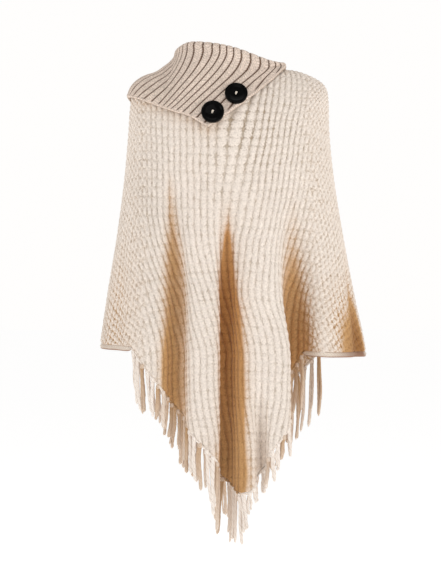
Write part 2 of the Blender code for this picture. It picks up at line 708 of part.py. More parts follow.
def main():
    for thing in list(bpy.data.objects):
        bpy.data.objects.remove(thing, do_unlink=True)
    poncho = bpy.data.collections.new("knitted_poncho_sweater")
    cutters = bpy.data.collections.new("cutters")
    for collection in (poncho, cutters):
        bpy.context.scene.collection.children.link(collection)
    knit = material("waffle_knit", KNIT_COLOUR, 0.9)
    rib = material("rib_knit", RIB_COLOUR, 0.9)
    gloss = material("button_black", BUTTON_COLOUR, 0.12)
    front = make_panel("front", knit, poncho)
    back = make_panel("back", knit, poncho)
    for hand in ("left", "right"):
        make_cuff(hand, knit, poncho)
    for side in ("front", "back"):
        make_fringe(side, knit, poncho)
    face, normals = make_collar(front, back, rib, poncho)
    for name, place in BUTTONS.items():
        make_button(name, place, face, normals, gloss, poncho)


main()
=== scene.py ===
# Knitted poncho sweater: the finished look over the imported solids
import math
import random

import bmesh
import bpy
import numpy as np
from mathutils import Matrix, Vector
from mathutils.bvhtree import BVHTree
from mathutils.kdtree import KDTree


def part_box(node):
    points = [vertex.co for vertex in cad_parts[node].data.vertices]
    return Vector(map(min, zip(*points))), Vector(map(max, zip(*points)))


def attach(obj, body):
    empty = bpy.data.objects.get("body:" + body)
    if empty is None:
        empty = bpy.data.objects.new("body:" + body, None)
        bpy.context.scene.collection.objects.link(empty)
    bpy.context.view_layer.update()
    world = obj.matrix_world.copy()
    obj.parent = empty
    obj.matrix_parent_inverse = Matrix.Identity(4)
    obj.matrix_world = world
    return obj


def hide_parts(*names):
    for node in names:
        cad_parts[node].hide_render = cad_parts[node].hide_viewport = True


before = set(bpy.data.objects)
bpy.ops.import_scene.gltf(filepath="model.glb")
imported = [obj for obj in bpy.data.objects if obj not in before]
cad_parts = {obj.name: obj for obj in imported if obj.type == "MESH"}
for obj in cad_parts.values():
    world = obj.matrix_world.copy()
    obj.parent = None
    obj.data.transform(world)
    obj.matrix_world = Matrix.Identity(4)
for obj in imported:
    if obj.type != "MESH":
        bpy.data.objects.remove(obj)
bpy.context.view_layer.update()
bpy.ops.object.select_all(action="DESELECT")
print("frame loaded,", len(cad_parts), "nodes")


# Worn shape, in metres; the same named sizes shape the solids. The cloth hangs in rings below the
# neck edge, and drop is measured down the front.
body = {
    "wall": 0.004,
    "seamGap": 0.0003,
    "neckGap": 0.0007,
    "levelStep": 0.005,
    "ringSamples": 361,
    "columns": (
        "drop", "left", "right", "front", "back",
        "leftZ", "rightZ", "frontZ", "backZ", "square",
    ),
    "rings": (
        (0.000, 0.120, 0.121, 0.096, 0.083, 0.003, 0.003, -0.030, 0.009, 2.00),
        (0.025, 0.139, 0.146, 0.108, 0.099, -0.010, -0.002, -0.055, -0.012, 2.05),
        (0.050, 0.163, 0.171, 0.118, 0.111, -0.018, -0.012, -0.080, -0.042, 2.10),
        (0.075, 0.181, 0.190, 0.126, 0.119, -0.031, -0.024, -0.105, -0.076, 2.15),
        (0.100, 0.189, 0.199, 0.132, 0.125, -0.047, -0.038, -0.130, -0.111, 2.20),
        (0.130, 0.193, 0.202, 0.137, 0.130, -0.074, -0.061, -0.160, -0.149, 2.25),
        (0.180, 0.196, 0.203, 0.143, 0.136, -0.123, -0.115, -0.210, -0.205, 2.30),
        (0.260, 0.204, 0.212, 0.150, 0.143, -0.215, -0.212, -0.290, -0.288, 2.30),
        (0.350, 0.219, 0.231, 0.157, 0.151, -0.330, -0.330, -0.380, -0.380, 2.25),
        (0.440, 0.238, 0.253, 0.163, 0.158, -0.445, -0.445, -0.470, -0.470, 2.20),
        (0.530, 0.254, 0.277, 0.168, 0.164, -0.560, -0.560, -0.560, -0.560, 2.20),
        (0.660, 0.258, 0.279, 0.167, 0.163, -0.690, -0.690, -0.690, -0.690, 2.20),
        (0.830, 0.260, 0.280, 0.163, 0.160, -0.860, -0.860, -0.860, -0.860, 2.20),
    ),
}

# Hanging folds, left to right: a valley floor at its place along the ring, between two curved
# walls of the given cloth length. Shade is the brown painted shade on the floor from its
# full-shade height down, and the spreads tell how far the painted shade climbs each wall.
folds = {
    "topWall": 0.45,
    "wallSamples": 24,
    # the most that a wall leans, in radians, and the samples up to it
    "leans": (1.95, 80),
    "columns": (
        "topPlace", "hemPlace", "leftWall", "rightWall", "depth", "startZ", "fullZ",
        "shade", "brownZ", "leftSpread", "rightSpread",
    ),
    "front": (
        (-0.225, -0.240, 0.035, 0.040, 0.007, -0.30, -0.55, 0.15, -0.55, 1.5, 1.5),
        (-0.110, -0.100, 0.052, 0.056, 0.034, -0.19, -0.50, 0.95, -0.46, 4.0, 0.85),
        (0.000, -0.006, 0.048, 0.058, 0.037, -0.25, -0.48, 1.00, -0.50, 2.4, 5.0),
        (0.061, 0.067, 0.040, 0.038, 0.028, -0.58, -0.74, 0.00, -0.74, 1.5, 1.5),
        (0.128, 0.150, 0.105, 0.110, 0.080, -0.22, -0.57, 1.00, -0.56, 1.3, 1.6),
        (0.270, 0.290, 0.035, 0.030, 0.009, -0.35, -0.55, 0.60, -0.52, 1.1, 1.1),
    ),
    "back": (
        (-0.215, -0.235, 0.045, 0.040, 0.018, -0.25, -0.55, 0.60, -0.50, 1.3, 1.3),
        (-0.110, -0.118, 0.050, 0.055, 0.035, -0.20, -0.50, 1.00, -0.44, 1.6, 1.6),
        (-0.010, -0.008, 0.050, 0.055, 0.036, -0.26, -0.50, 1.00, -0.44, 2.0, 2.0),
        (0.090, 0.092, 0.085, 0.090, 0.060, -0.22, -0.56, 1.00, -0.54, 1.6, 1.6),
        (0.215, 0.235, 0.045, 0.045, 0.020, -0.28, -0.55, 0.60, -0.50, 1.3, 1.3),
    ),
}

# The level hems and the point between them: where its tip lies along the ring, the cloth widths
# from the tip to where the level hems start, and how far the tip hangs below them.
hems = {
    "cuffZ": -0.559,
    "cuffSlope": -0.03,
    "cuffDepth": 0.010,
    "stripDepth": 0.006,
    "tipRound": 0.040,
    "front": {"tip": 0.016, "left": 0.281, "right": 0.222, "drop": 0.270},
    "back": {"tip": 0.000, "left": 0.265, "right": 0.285, "drop": 0.262},
    # steps of the left level hem, left slant, right slant and right level hem
    "steps": {"front": (7, 25, 21, 9), "back": (6, 18, 18, 6)},
}


def table(columns, rows):
    values = np.array(rows, float)
    return {name: values[:, index] for index, name in enumerate(columns)}


def smoothStep(share):
    share = np.clip(share, 0.0, 1.0)
    return share * share * (3.0 - 2.0 * share)


def curveThrough(knots, values, place):
    # cubic curve through the values, with the slopes of a Catmull-Rom spline
    slopes = np.gradient(values, knots)
    place = np.clip(place, knots[0], knots[-1])
    left = np.clip(np.searchsorted(knots, place, side="right") - 1, 0, len(knots) - 2)
    width = knots[left + 1] - knots[left]
    share = (place - knots[left]) / width
    rise = values[left + 1] - values[left]
    bendLeft = slopes[left] * width - rise
    bendRight = rise - slopes[left + 1] * width
    arch = share * (1.0 - share)
    return values[left] + share * rise + arch * (bendLeft * (1.0 - share) + bendRight * share)


def runningLength(points):
    steps = np.linalg.norm(np.diff(points, axis=0), axis=1)
    return np.concatenate(([0.0], np.cumsum(steps)))


def unit(vectors):
    return vectors / np.linalg.norm(vectors, axis=-1, keepdims=True)


def alongCurve(places, knots, points):
    columns = [np.interp(places, knots, points[:, axis]) for axis in range(points.shape[1])]
    return np.stack(columns, axis=-1)


def wallCurve(lean):
    # side view of a fold's wall of length 1, level at both ends
    samples = folds["wallSamples"]
    turn = lean * np.sin(math.pi * np.linspace(0.0, 1.0, samples + 1))
    along, down = np.cos(turn), np.sin(turn)
    along = np.concatenate(([0.0], np.cumsum(along[1:] + along[:-1]) / (2 * samples)))
    down = np.concatenate(([0.0], np.cumsum(down[1:] + down[:-1]) / (2 * samples)))
    return along, down


leans = np.linspace(0.0, *folds["leans"])
leanDepths = np.array([wallCurve(lean)[1][-1] for lean in leans])


def foldedLine(rows, z, start, end):
    # places along the plain ring, depths below it and how shaded each place is
    places, depths, shades = [np.array([start])], [np.zeros(1)], [np.zeros(1)]
    samples = folds["wallSamples"]
    for index in range(len(rows["depth"])):
        fold = {name: rows[name][index] for name in folds["columns"]}
        sunk = smoothStep((fold["startZ"] - z) / (fold["startZ"] - fold["fullZ"]))
        if sunk <= 0.0:
            continue
        middle = fold["topPlace"] + (fold["hemPlace"] - fold["topPlace"]) * sunk
        cloth = folds["topWall"] + (1.0 - folds["topWall"]) * sunk
        depth = fold["depth"] * sunk
        left, right = fold["leftWall"] * cloth, fold["rightWall"] * cloth
        leftAlong, leftDown = wallCurve(np.interp(depth / left, leanDepths, leans))
        rightAlong, rightDown = wallCurve(np.interp(depth / right, leanDepths, leans))
        mouth = middle - left * leftAlong[-1]
        plain = np.linspace(places[-1][-1], mouth, samples + 1)[1:-1]
        leftDown, rightDown = left * leftDown, (right * rightDown[::-1])[1:]
        places += [plain, mouth + left * leftAlong]
        places.append(middle + right * (rightAlong[-1] - rightAlong[::-1])[1:])
        depths += [np.zeros(len(plain)), leftDown, rightDown]
        # painted shade: grows on the valley floor from the fold's start down to its full-shade
        # height, then climbs the walls
        brown = smoothStep((fold["startZ"] - z) / (fold["startZ"] - fold["brownZ"]))
        shades.append(np.zeros(len(plain)))
        for spread, down in (("leftSpread", leftDown), ("rightSpread", rightDown)):
            climb = smoothStep(fold[spread] * (down / depth + brown - 1.0))
            shades.append(fold["shade"] * climb)
    plain = np.linspace(places[-1][-1], end, 2 * samples)[1:]
    zeros = np.zeros(len(plain))
    return (
        np.concatenate(places + [plain]),
        np.concatenate(depths + [zeros]),
        np.concatenate(shades + [zeros]),
    )


def halfRing(drop, side):
    # points of the front or back half of one ring, left seam to right seam
    rings = table(body["columns"], body["rings"])
    row = {name: curveThrough(rings["drop"], rings[name], drop) for name in body["columns"]}
    turn = np.linspace(math.pi, 0.0, body["ringSamples"])
    across, out = np.cos(turn), np.sin(turn)
    power = 2.0 / row["square"]
    half = np.where(across < 0.0, row["left"], row["right"])
    sideZ = np.where(across < 0.0, row["leftZ"], row["rightZ"])
    facing = -1.0 if side == "front" else 1.0
    x = half * np.sign(across) * np.abs(across) ** power
    y = facing * row[side] * np.abs(out) ** power
    plain = np.stack([x, y, sideZ + (row[side + "Z"] - sideZ) * out**2], axis=1)
    length = runningLength(plain[:, :2])
    length -= length[body["ringSamples"] // 2]
    tangent = unit(np.gradient(plain[:, :2], axis=0))
    rows = table(folds["columns"], folds[side])
    places, depths, shades = foldedLine(rows, row[side + "Z"], length[0], length[-1])
    ring = alongCurve(places, length, plain)
    ring[:, 0] += facing * np.interp(places, length, tangent[:, 1]) * depths
    ring[:, 1] -= facing * np.interp(places, length, tangent[:, 0]) * depths
    return ring, places, shades


class Cloth:  # one hanging panel: levels down by shares of the cloth's width
    def __init__(self, side, shares):
        self.side = side
        self.shares = np.asarray(shares)
        lowest = body["rings"][-1][0]
        self.drops = np.arange(0.0, lowest + body["levelStep"] / 2, body["levelStep"])
        points, tangents, shades, widths = [], [], [], []
        for drop in self.drops:
            ring, _, shade = halfRing(drop, side)
            length = runningLength(ring)
            where = self.shares * length[-1]
            points.append(alongCurve(where, length, ring))
            tangents.append(alongCurve(where, length, unit(np.gradient(ring, axis=0))))
            shades.append(np.interp(where, length, shade))
            widths.append(length[-1])
        self.points, self.shades = np.array(points), np.array(shades)
        self.widths = np.array(widths)
        normals = unit(np.cross(np.array(tangents), np.gradient(self.points, axis=0)))
        self.normals = normals if side == "back" else -normals

    def dropAt(self, heights):
        columns = range(len(self.shares))
        return np.array([
            np.interp(-heights[i], -self.points[:, i, 2], self.drops) for i in columns
        ])

    def at(self, drops):
        # outer points, outward normals and shade of each column at its drop
        level = np.clip(drops / body["levelStep"], 0.0, len(self.drops) - 1.001)
        low = level.astype(int)
        share = (level - low)[:, None]
        column = np.arange(len(self.shares))

        def blend(grid):
            return grid[low, column] * (1 - share) + grid[low + 1, column] * share

        shade = blend(self.shades[:, :, None])[:, 0]
        return blend(self.points), unit(blend(self.normals)), shade


def pointRule(side):
    # shares of the left start, tip and right start of the slanted hem, and the cloth's width
    rings = table(body["columns"], body["rings"])
    ring, places, _ = halfRing(np.interp(-hems["cuffZ"], -rings["frontZ"], rings["drop"]), side)
    length = runningLength(ring)
    tip, width = np.interp(hems[side]["tip"], places, length), length[-1]
    start, end = tip - hems[side]["left"], tip + hems[side]["right"]
    return start / width, tip / width, end / width, width


def hemHeight(side, cloth):
    _, tip, _, width = pointRule(side)
    point, tipRound = hems[side], hems["tipRound"]
    aside = (cloth.shares - tip) * width
    half = np.where(aside < 0.0, point["left"], point["right"])
    aside = np.minimum(np.abs(aside), half)
    rise = (np.hypot(aside, tipRound) - tipRound) / (np.hypot(half, tipRound) - tipRound)
    level = hems["cuffZ"] + hems["cuffDepth"]
    x = cloth.at(cloth.dropAt(np.full(len(aside), level)))[0][:, 0]
    return level + hems["cuffSlope"] * x - point["drop"] * (1.0 - rise)


def columnShares(side):
    # shares of the cloth at the hem's steps
    start, tip, end, width = pointRule(side)
    inset = body["seamGap"] / 2 / width
    stops, counts = (inset, start, tip, end, 1.0 - inset), hems["steps"][side]
    stretches = [np.linspace(a, b, n + 1)[:-1] for a, b, n in zip(stops, stops[1:], counts)]
    return np.concatenate(stretches + [stops[-1:]])


def hemCloth(side, columns):
    # the cloth at places along the hem's steps
    shares = columnShares(side)
    return Cloth(side, np.interp(columns, range(len(shares)), shares))


def maths(operation, turned=False):
    # method that works out one operation on fields with a shader node
    def method(self, *others):
        values = (*others, self) if turned else (self, *others)
        return self.node("Math", {"operation": operation}, dict(enumerate(values)))

    return method


class Field:  # a shader socket that takes part in Python sums
    __add__ = __radd__ = maths("ADD")
    __mul__ = __rmul__ = maths("MULTIPLY")
    __sub__, __rsub__ = maths("SUBTRACT"), maths("SUBTRACT", True)
    __truediv__, __pow__, __abs__ = maths("DIVIDE"), maths("POWER"), maths("ABSOLUTE")
    over, fract = maths("MAXIMUM"), maths("FRACT")

    def __init__(self, tree, socket=None):
        self.tree, self.socket = tree, socket

    def node(self, kind, settings=None, sockets=None, output=0):
        made = self.tree.nodes.new("ShaderNode" + kind)
        for name, value in (settings or {}).items():
            setattr(made, name, value)
        for name, value in (sockets or {}).items():
            if isinstance(value, Field):
                self.tree.links.new(value.socket, made.inputs[name])
            else:
                made.inputs[name].default_value = value
        return Field(self.tree, made.outputs[output])

    def wave(self):
        # runs from 1 to 0 and back as the field grows by 1
        return abs(self.fract() - 0.5) * 2.0

    def ramp(self, low, high, kind="LINEAR"):
        # rises from 0 at low to 1 at high
        sockets = {"Value": self, "From Min": low, "From Max": high}
        return self.node("MapRange", {"interpolation_type": kind}, sockets)

    def step(self, low, high):
        return self.ramp(low, high, "SMOOTHSTEP")

    def attribute(self, name):
        return self.node("Attribute", {"attribute_name": name}, {}, 2)

    def grain(self):
        return self.node("UVMap", {"uv_map": "grain"})

    def place(self):
        return self.node("TexCoord", {}, {}, 3)

    def parts(self):
        return [self.node("SeparateXYZ", {}, {0: self}, axis) for axis in range(3)]

    def mix(self, first, second):
        # colour between two, with this field as the factor
        return self.node("Mix", {"data_type": "RGBA"}, {0: self, 6: first, 7: second}, 2)

    def scaled(self, factor):
        return self.node("VectorMath", {"operation": "SCALE"}, {0: self, "Scale": factor})

    def noise(self, vector, scale, detail=2.0):
        return self.node("TexNoise", {}, {"Vector": vector, "Scale": scale, "Detail": detail})

    def bump(self, strength, distance):
        # normal of a surface with this height
        sockets = {"Strength": strength, "Distance": distance, "Height": self}
        return self.node("Bump", {}, sockets)


def newMaterial(name, constants, make):
    # make(start) gives the linked sockets of the shader; constants are set on their own sockets
    finish = bpy.data.materials.new(name)
    finish.use_nodes = True
    tree = finish.node_tree
    shader = tree.nodes["Principled BSDF"]
    for socket, value in constants.items():
        shader.inputs[socket].default_value = value
    for socket, field in make(Field(tree)).items():
        tree.links.new(field.socket, shader.inputs[socket])
    return finish


wool = {
    "cream": (0.85, 0.76, 0.68, 1.0),
    # painted shade: dark in the gaps between stitches, golden and deep brown in the folds, each
    # with darker gaps
    "gapShade": (0.38, 0.29, 0.20, 1.0),
    "shadeGold": (0.565, 0.325, 0.142, 1.0),
    "shadeGoldGap": (0.38, 0.205, 0.085, 1.0),
    "shadeDeep": (0.50, 0.235, 0.080, 1.0),
    "shadeDeepGap": (0.31, 0.13, 0.042, 1.0),
    "shader": {
        "Roughness": 0.95,
        "Specular IOR Level": 0.12,
        "Sheen Weight": 0.12,
        "Sheen Roughness": 0.5,
        "Sheen Tint": (1.0, 0.95, 0.90, 1.0),
    },
}

# Waffle knit: pitch of the bubbles across and down, their half sizes in pitches, the relief of
# the cloth, the flat radius of the cut neck that the rows fan out from, and the yarn's fibres.
# A second set of bubbles fills the corners of the first; the less it stands out, the more the
# first set reads as columns.
waffle = {
    "across": 0.0126,
    "down": 0.0170,
    "halfAcross": 0.49,
    "halfDown": 0.68,
    "latticeHalfDown": 0.52,
    "latticeStep": (0.45, 0.95),
    "relief": 0.0033,
    "middle": 0.55,
    "crown": 0.65,
    "neckRadius": 0.20,
    "spread": 0.25,
    "spreadDrop": 0.40,
    # stitches of a bubble: how many down it, how much they bend and how deep they are
    "stitches": (3.0, 2.2, 0.16),
    # furrows between the columns: depth, specks at their edges, where they start and are full
    "furrow": (0.10, 0.5, 0.55, 1.0),
    # heights where gaps start to fill: what the lattice adds; where they are full: plain, added
    "fill": (0.30, 0.85, 0.10),
    "openNoise": 1.4,
    # noise in the brown painted shade: in all, of single bubbles, and up to which shade it grows
    "shadeNoise": (0.16, 0.6, 0.3),
    # gaps that take the painted shade before their bubbles: how much, and between which shades
    "gapsShadedFirst": (0.36, (0.02, 0.45), (0.55, 1.0)),
    # painted shade added to the gaps of the lattice at the sides
    "latticeGapShade": 0.38,
    # how much darker the painted shade gets past full brown
    "deepTone": 0.32,
    # tone: plain, and what patches, specks and bubbles add
    "tone": (0.95, 0.12, 0.40, 0.10),
    "specks": 0.9,
    "fuzzRelief": 0.10,
    "speckRelief": 0.3,
    "bump": (0.75, 0.0030),
    "fuzzScale": 900.0,
    "speckScale": 300.0,
    "bubbleScale": 75.0,
    "patchScale": 9.0,
}


def bubbleShade(x, y, halfDown):
    # one of the two sets of bubbles: height, with the stitches of its yarn
    rows, bend, depth = waffle["stitches"]
    aside, below = (x + 0.5).fract() - 0.5, (y + 0.5).fract() - 0.5
    reach = (aside / waffle["halfAcross"]) ** 2.0 + (below / halfDown) ** 2.0
    dome = (1.0 - reach).over(0.0) ** 0.5
    return dome * (1.0 - depth * (below * rows + abs(aside) * bend).wave())


def woolColour(filled, shade, shadeDeepness):
    # cream wool with painted shade in golden or deep brown, mixed by how deep the shade is; the
    # gaps take darker painted shade
    lit = filled.mix(wool["gapShade"], wool["cream"])
    shadeGold = filled.mix(wool["shadeGoldGap"], wool["shadeGold"])
    shadeDeep = filled.mix(wool["shadeDeepGap"], wool["shadeDeep"])
    return shade.ramp(0.0, 1.0).mix(lit, shadeDeepness.mix(shadeGold, shadeDeep))


def waffleSockets(start):
    grain, place = start.grain(), start.place()
    across, down, _ = grain.parts()
    x, y = across / waffle["across"], down / waffle["down"]
    # bubbles that run into columns in the middle, and a lattice of both sets at the sides
    lattice = start.attribute("lattice").step(*waffle["latticeStep"])
    halfDown = waffle["halfDown"] + lattice * (waffle["latticeHalfDown"] - waffle["halfDown"])
    height = bubbleShade(x, y, halfDown)
    height = height.over(bubbleShade(x + 0.5, y + 0.5, halfDown) * lattice)
    patch = start.noise(place, waffle["patchScale"])
    fuzz = start.noise(place, waffle["fuzzScale"], 3.0)
    speck = start.noise(place, waffle["speckScale"], 1.0) - 0.5
    bubble = start.noise(grain, waffle["bubbleScale"], 1.0) - 0.5
    strength, ofBubbles, growth = waffle["shadeNoise"]
    shade = start.attribute("shade")
    shade = shade + (patch - 0.5 + bubble * ofBubbles) * strength * shade.step(0.0, growth)
    # open knit has wide gaps of painted shade, and tight knit nearly none; furrows part the columns
    depth, rough, low, high = waffle["furrow"]
    furrow = (x + speck * rough).wave().step(low, high) * (1.0 - lattice)
    low, high, added = waffle["fill"]
    filled = height + speck * waffle["specks"] - furrow * depth
    filled = filled.step(lattice * low, high + lattice * added)
    # where the painted shade fades out, the gaps keep it longer than the bubbles
    strength, rising, falling = waffle["gapsShadedFirst"]
    halfShade = shade.step(*rising) * (1.0 - shade.step(*falling))
    shade = shade + (0.5 - filled) * halfShade * strength * (1.0 + lattice)
    openness = start.attribute("openness") + bubble * waffle["openNoise"]
    filled = 1.0 - (1.0 - filled) * openness.ramp(0.0, 1.0)
    # painted shade added to the gaps of the lattice at the sides
    paintedGapShade = (1.0 - filled) * lattice * waffle["latticeGapShade"]
    # painted shade past full turns deep brown and darker
    dark = shade.ramp(1.0, 2.0)
    colour = woolColour(filled, shade + paintedGapShade, start.attribute("shadeDeepness").over(dark))
    plain, byPatch, bySpeck, byBubble = waffle["tone"]
    tone = plain + patch * byPatch + speck * bySpeck + bubble * byBubble
    tone = tone * (1.0 - dark * waffle["deepTone"])
    relief = height + fuzz * waffle["fuzzRelief"] + speck * waffle["speckRelief"]
    return {"Base Color": colour.scaled(tone), "Normal": relief.bump(*waffle["bump"])}


# Twisted yarn: how much its fibres change its tone, its grooves and its height
yarn = {
    "fibreScale": 700.0,
    "fibreTone": 0.25,
    "fibreGroove": 0.3,
    "fibreHeight": 0.5,
    "groove": (0.75, 1.0),
    "bump": (0.6, 0.0012),
    # pale colour and brown painted shade, plies, their turns in a metre and the depth of the
    # grooves
    "fringe": ((0.90, 0.82, 0.75, 1.0), (0.50, 0.31, 0.16, 1.0), 2.0, 70.0, 0.35),
    "edging": ((0.84, 0.74, 0.64, 1.0), (0.30, 0.165, 0.11, 1.0), 3.0, 150.0, 0.5),
    "thread": ((0.80, 0.72, 0.62, 1.0), (0.5, 0.38, 0.26, 1.0), 2.0, 300.0, 0.6),
}


def yarnSockets(pale, brown, plies, twist, depth):
    # the first coordinate goes round the yarn, the second along it in metres
    def make(start):
        around, along, _ = start.grain().parts()
        ply = (around * plies + along * twist).wave()
        fibre = start.noise(start.place(), yarn["fibreScale"], 3.0)
        tone = start.attribute("shade") + (fibre - 0.5) * yarn["fibreTone"]
        groove = (ply + (fibre - 0.5) * yarn["fibreGroove"]).step(*yarn["groove"]) * depth
        # lit and shaded copies of the yarn: painted shade in brown, and the gap's painted shade in
        # the grooves
        light, dark = groove.mix(pale, wool["gapShade"]), groove.mix(brown, wool["shadeGoldGap"])
        height = fibre * yarn["fibreHeight"] - ply * depth
        colour = tone.ramp(0.0, 1.0).mix(light, dark)
        return {"Base Color": colour, "Normal": height.bump(*yarn["bump"])}

    return make


# Rib knit of the collar: length of a row of stitches and its bend between two furrows, and how
# much fuzz, specks and rows show
ribKnit = {
    "top": (0.72, 0.60, 0.52, 1.0),
    # painted shade in the furrows between the ribs
    "furrow": (0.13, 0.075, 0.048, 1.0),
    "row": 0.0050,
    "rowBend": 1.4,
    "fuzzScale": 800.0,
    "speckScale": 300.0,
    "patchScale": 14.0,
    # edges of the furrows: fuzz, specks and rows, and where a furrow starts and is full
    "furrowNoise": (0.15, 0.25, 0.08),
    "furrowStep": (0.68, 0.95),
    "stitch": 0.60,
    "stitchFuzz": 0.6,
    "stitchStep": (0.45, 1.0),
    # tone: plain, and what patches, specks and rows add
    "tone": (0.94, 0.16, 1.1, 0.08),
    # height of rows, crowns of the ribs, fuzz and furrows
    "heights": (0.35, 0.15, 0.25, 0.8),
    "bump": (0.6, 0.0012),
}


def ribSockets(start):
    # the first coordinate counts ribs, the second runs down the collar in metres
    rib, down, _ = start.grain().parts()
    place = start.place()
    aside = rib.wave()
    rows = (down / ribKnit["row"] + aside * ribKnit["rowBend"]).wave()
    fuzz = start.noise(place, ribKnit["fuzzScale"], 3.0)
    speck = start.noise(place, ribKnit["speckScale"], 1.0) - 0.5
    patch = start.noise(place, ribKnit["patchScale"])
    byFuzz, bySpeck, byRow = ribKnit["furrowNoise"]
    furrow = aside + (fuzz - 0.5) * byFuzz + speck * bySpeck + (rows - 0.5) * byRow
    furrow = furrow.step(*ribKnit["furrowStep"]) * start.attribute("ribbed")
    stitch = (rows + (fuzz - 0.5) * ribKnit["stitchFuzz"]).step(*ribKnit["stitchStep"])
    stitch = stitch * ribKnit["stitch"] + start.attribute("shade")
    plain, byPatch, bySpeck, byRow = ribKnit["tone"]
    tone = plain + patch * byPatch + speck * bySpeck + rows * byRow
    # painted shade: dark in the furrows, and the gap's shade in the stitch grooves and where the
    # collar is shaded
    colour = furrow.mix(stitch.mix(ribKnit["top"], wool["gapShade"]), ribKnit["furrow"])
    byRow, byCrown, byFuzz, byFurrow = ribKnit["heights"]
    crown = 1.0 - abs(aside * 2.0 - 1.0)
    height = (1.0 - rows) * byRow + crown * byCrown + fuzz * byFuzz - furrow * byFurrow
    return {"Base Color": colour.scaled(tone), "Normal": height.bump(*ribKnit["bump"])}


knitFinish = newMaterial("waffle_knit_wool", wool["shader"], waffleSockets)
ribFinish = newMaterial("rib_knit_wool", wool["shader"], ribSockets)
fringeFinish = newMaterial("fringe_yarn", wool["shader"], yarnSockets(*yarn["fringe"]))
cuffFinish = newMaterial("edging_yarn", wool["shader"], yarnSockets(*yarn["edging"]))
print("wool finishes made")


def addObject(name, data):
    made = bpy.data.objects.new(name, data)
    bpy.context.scene.collection.objects.link(made)
    return made


def finishPiece(name, points, faces, grain, tints, finish):
    # tints are named values at the points, such as the shade
    mesh = bpy.data.meshes.new(name)
    mesh.from_pydata(np.asarray(points).tolist(), [], faces)
    layer = mesh.uv_layers.new(name="grain")
    corners = np.zeros(len(mesh.loops), np.int32)
    mesh.loops.foreach_get("vertex_index", corners)
    layer.data.foreach_set("uv", np.asarray(grain, np.float32)[corners].ravel())
    for tint, values in tints.items():
        layer = mesh.attributes.new(tint, "FLOAT", "POINT")
        layer.data.foreach_set("value", np.asarray(values, np.float32))
    shell = bmesh.new()
    shell.from_mesh(mesh)
    bmesh.ops.recalc_face_normals(shell, faces=shell.faces)
    if shell.calc_volume(signed=True) < 0:
        bmesh.ops.reverse_faces(shell, faces=shell.faces)
    shell.to_mesh(mesh)
    shell.free()
    mesh.materials.append(finish)
    mesh.shade_smooth()
    return addObject(name, mesh)


def sheetFaces(outerShape, innerShape):
    # a fine outer grid, a coarser inner grid and the rim between them
    rows, columns = outerShape
    innerRows, innerColumns = innerShape
    base = rows * columns
    grid = np.arange(base).reshape(rows, columns)
    lining = base + np.arange(innerRows * innerColumns).reshape(innerRows, innerColumns)

    def quads(cells, turned):
        corners = [cells[:-1, :-1], cells[:-1, 1:], cells[1:, 1:], cells[1:, :-1]]
        if turned:
            corners.reverse()
        return np.stack([corner.ravel() for corner in corners], axis=1).tolist()

    faces = quads(grid, False) + quads(lining, True)
    down, across = (rows - 1) // (innerRows - 1), (columns - 1) // (innerColumns - 1)
    rims = (
        (grid[0], lining[0], across), (grid[:, -1], lining[:, -1], down),
        (grid[-1, ::-1], lining[-1, ::-1], across), (grid[::-1, 0], lining[::-1, 0], down),
    )
    for outer, inner, step in rims:
        for index in range(len(inner) - 1):
            edge = outer[index * step : (index + 1) * step + 1]
            faces.append([int(inner[index]), int(inner[index + 1])] + edge[::-1].tolist())
    return faces


def sheetPiece(name, outer, inner, steps, grain, tints, insideShade, finish):
    # a sheet between its outer points and its inner points, which the steps thin out
    thin = slice(None, None, steps[0]), slice(None, None, steps[1])
    lining = inner[thin]

    def joined(values, inside):
        return np.concatenate([part.reshape(-1, *values.shape[2:]) for part in (values, inside)])

    tints = {tint: joined(values, values[thin]) for tint, values in tints.items()}
    tints["shade"][outer[..., 0].size :] = insideShade
    faces = sheetFaces(outer.shape[:2], lining.shape[:2])
    print(name, len(faces), "faces")
    points, grain = joined(outer, lining), joined(grain, grain[thin])
    return finishPiece(name, points, faces, grain, tints, finish)


def rolledEdge(distance, radius):
    # how far an edge turns in at each distance from it
    near = np.clip(radius - distance, 0.0, radius)
    return radius - np.sqrt(radius**2 - near**2)


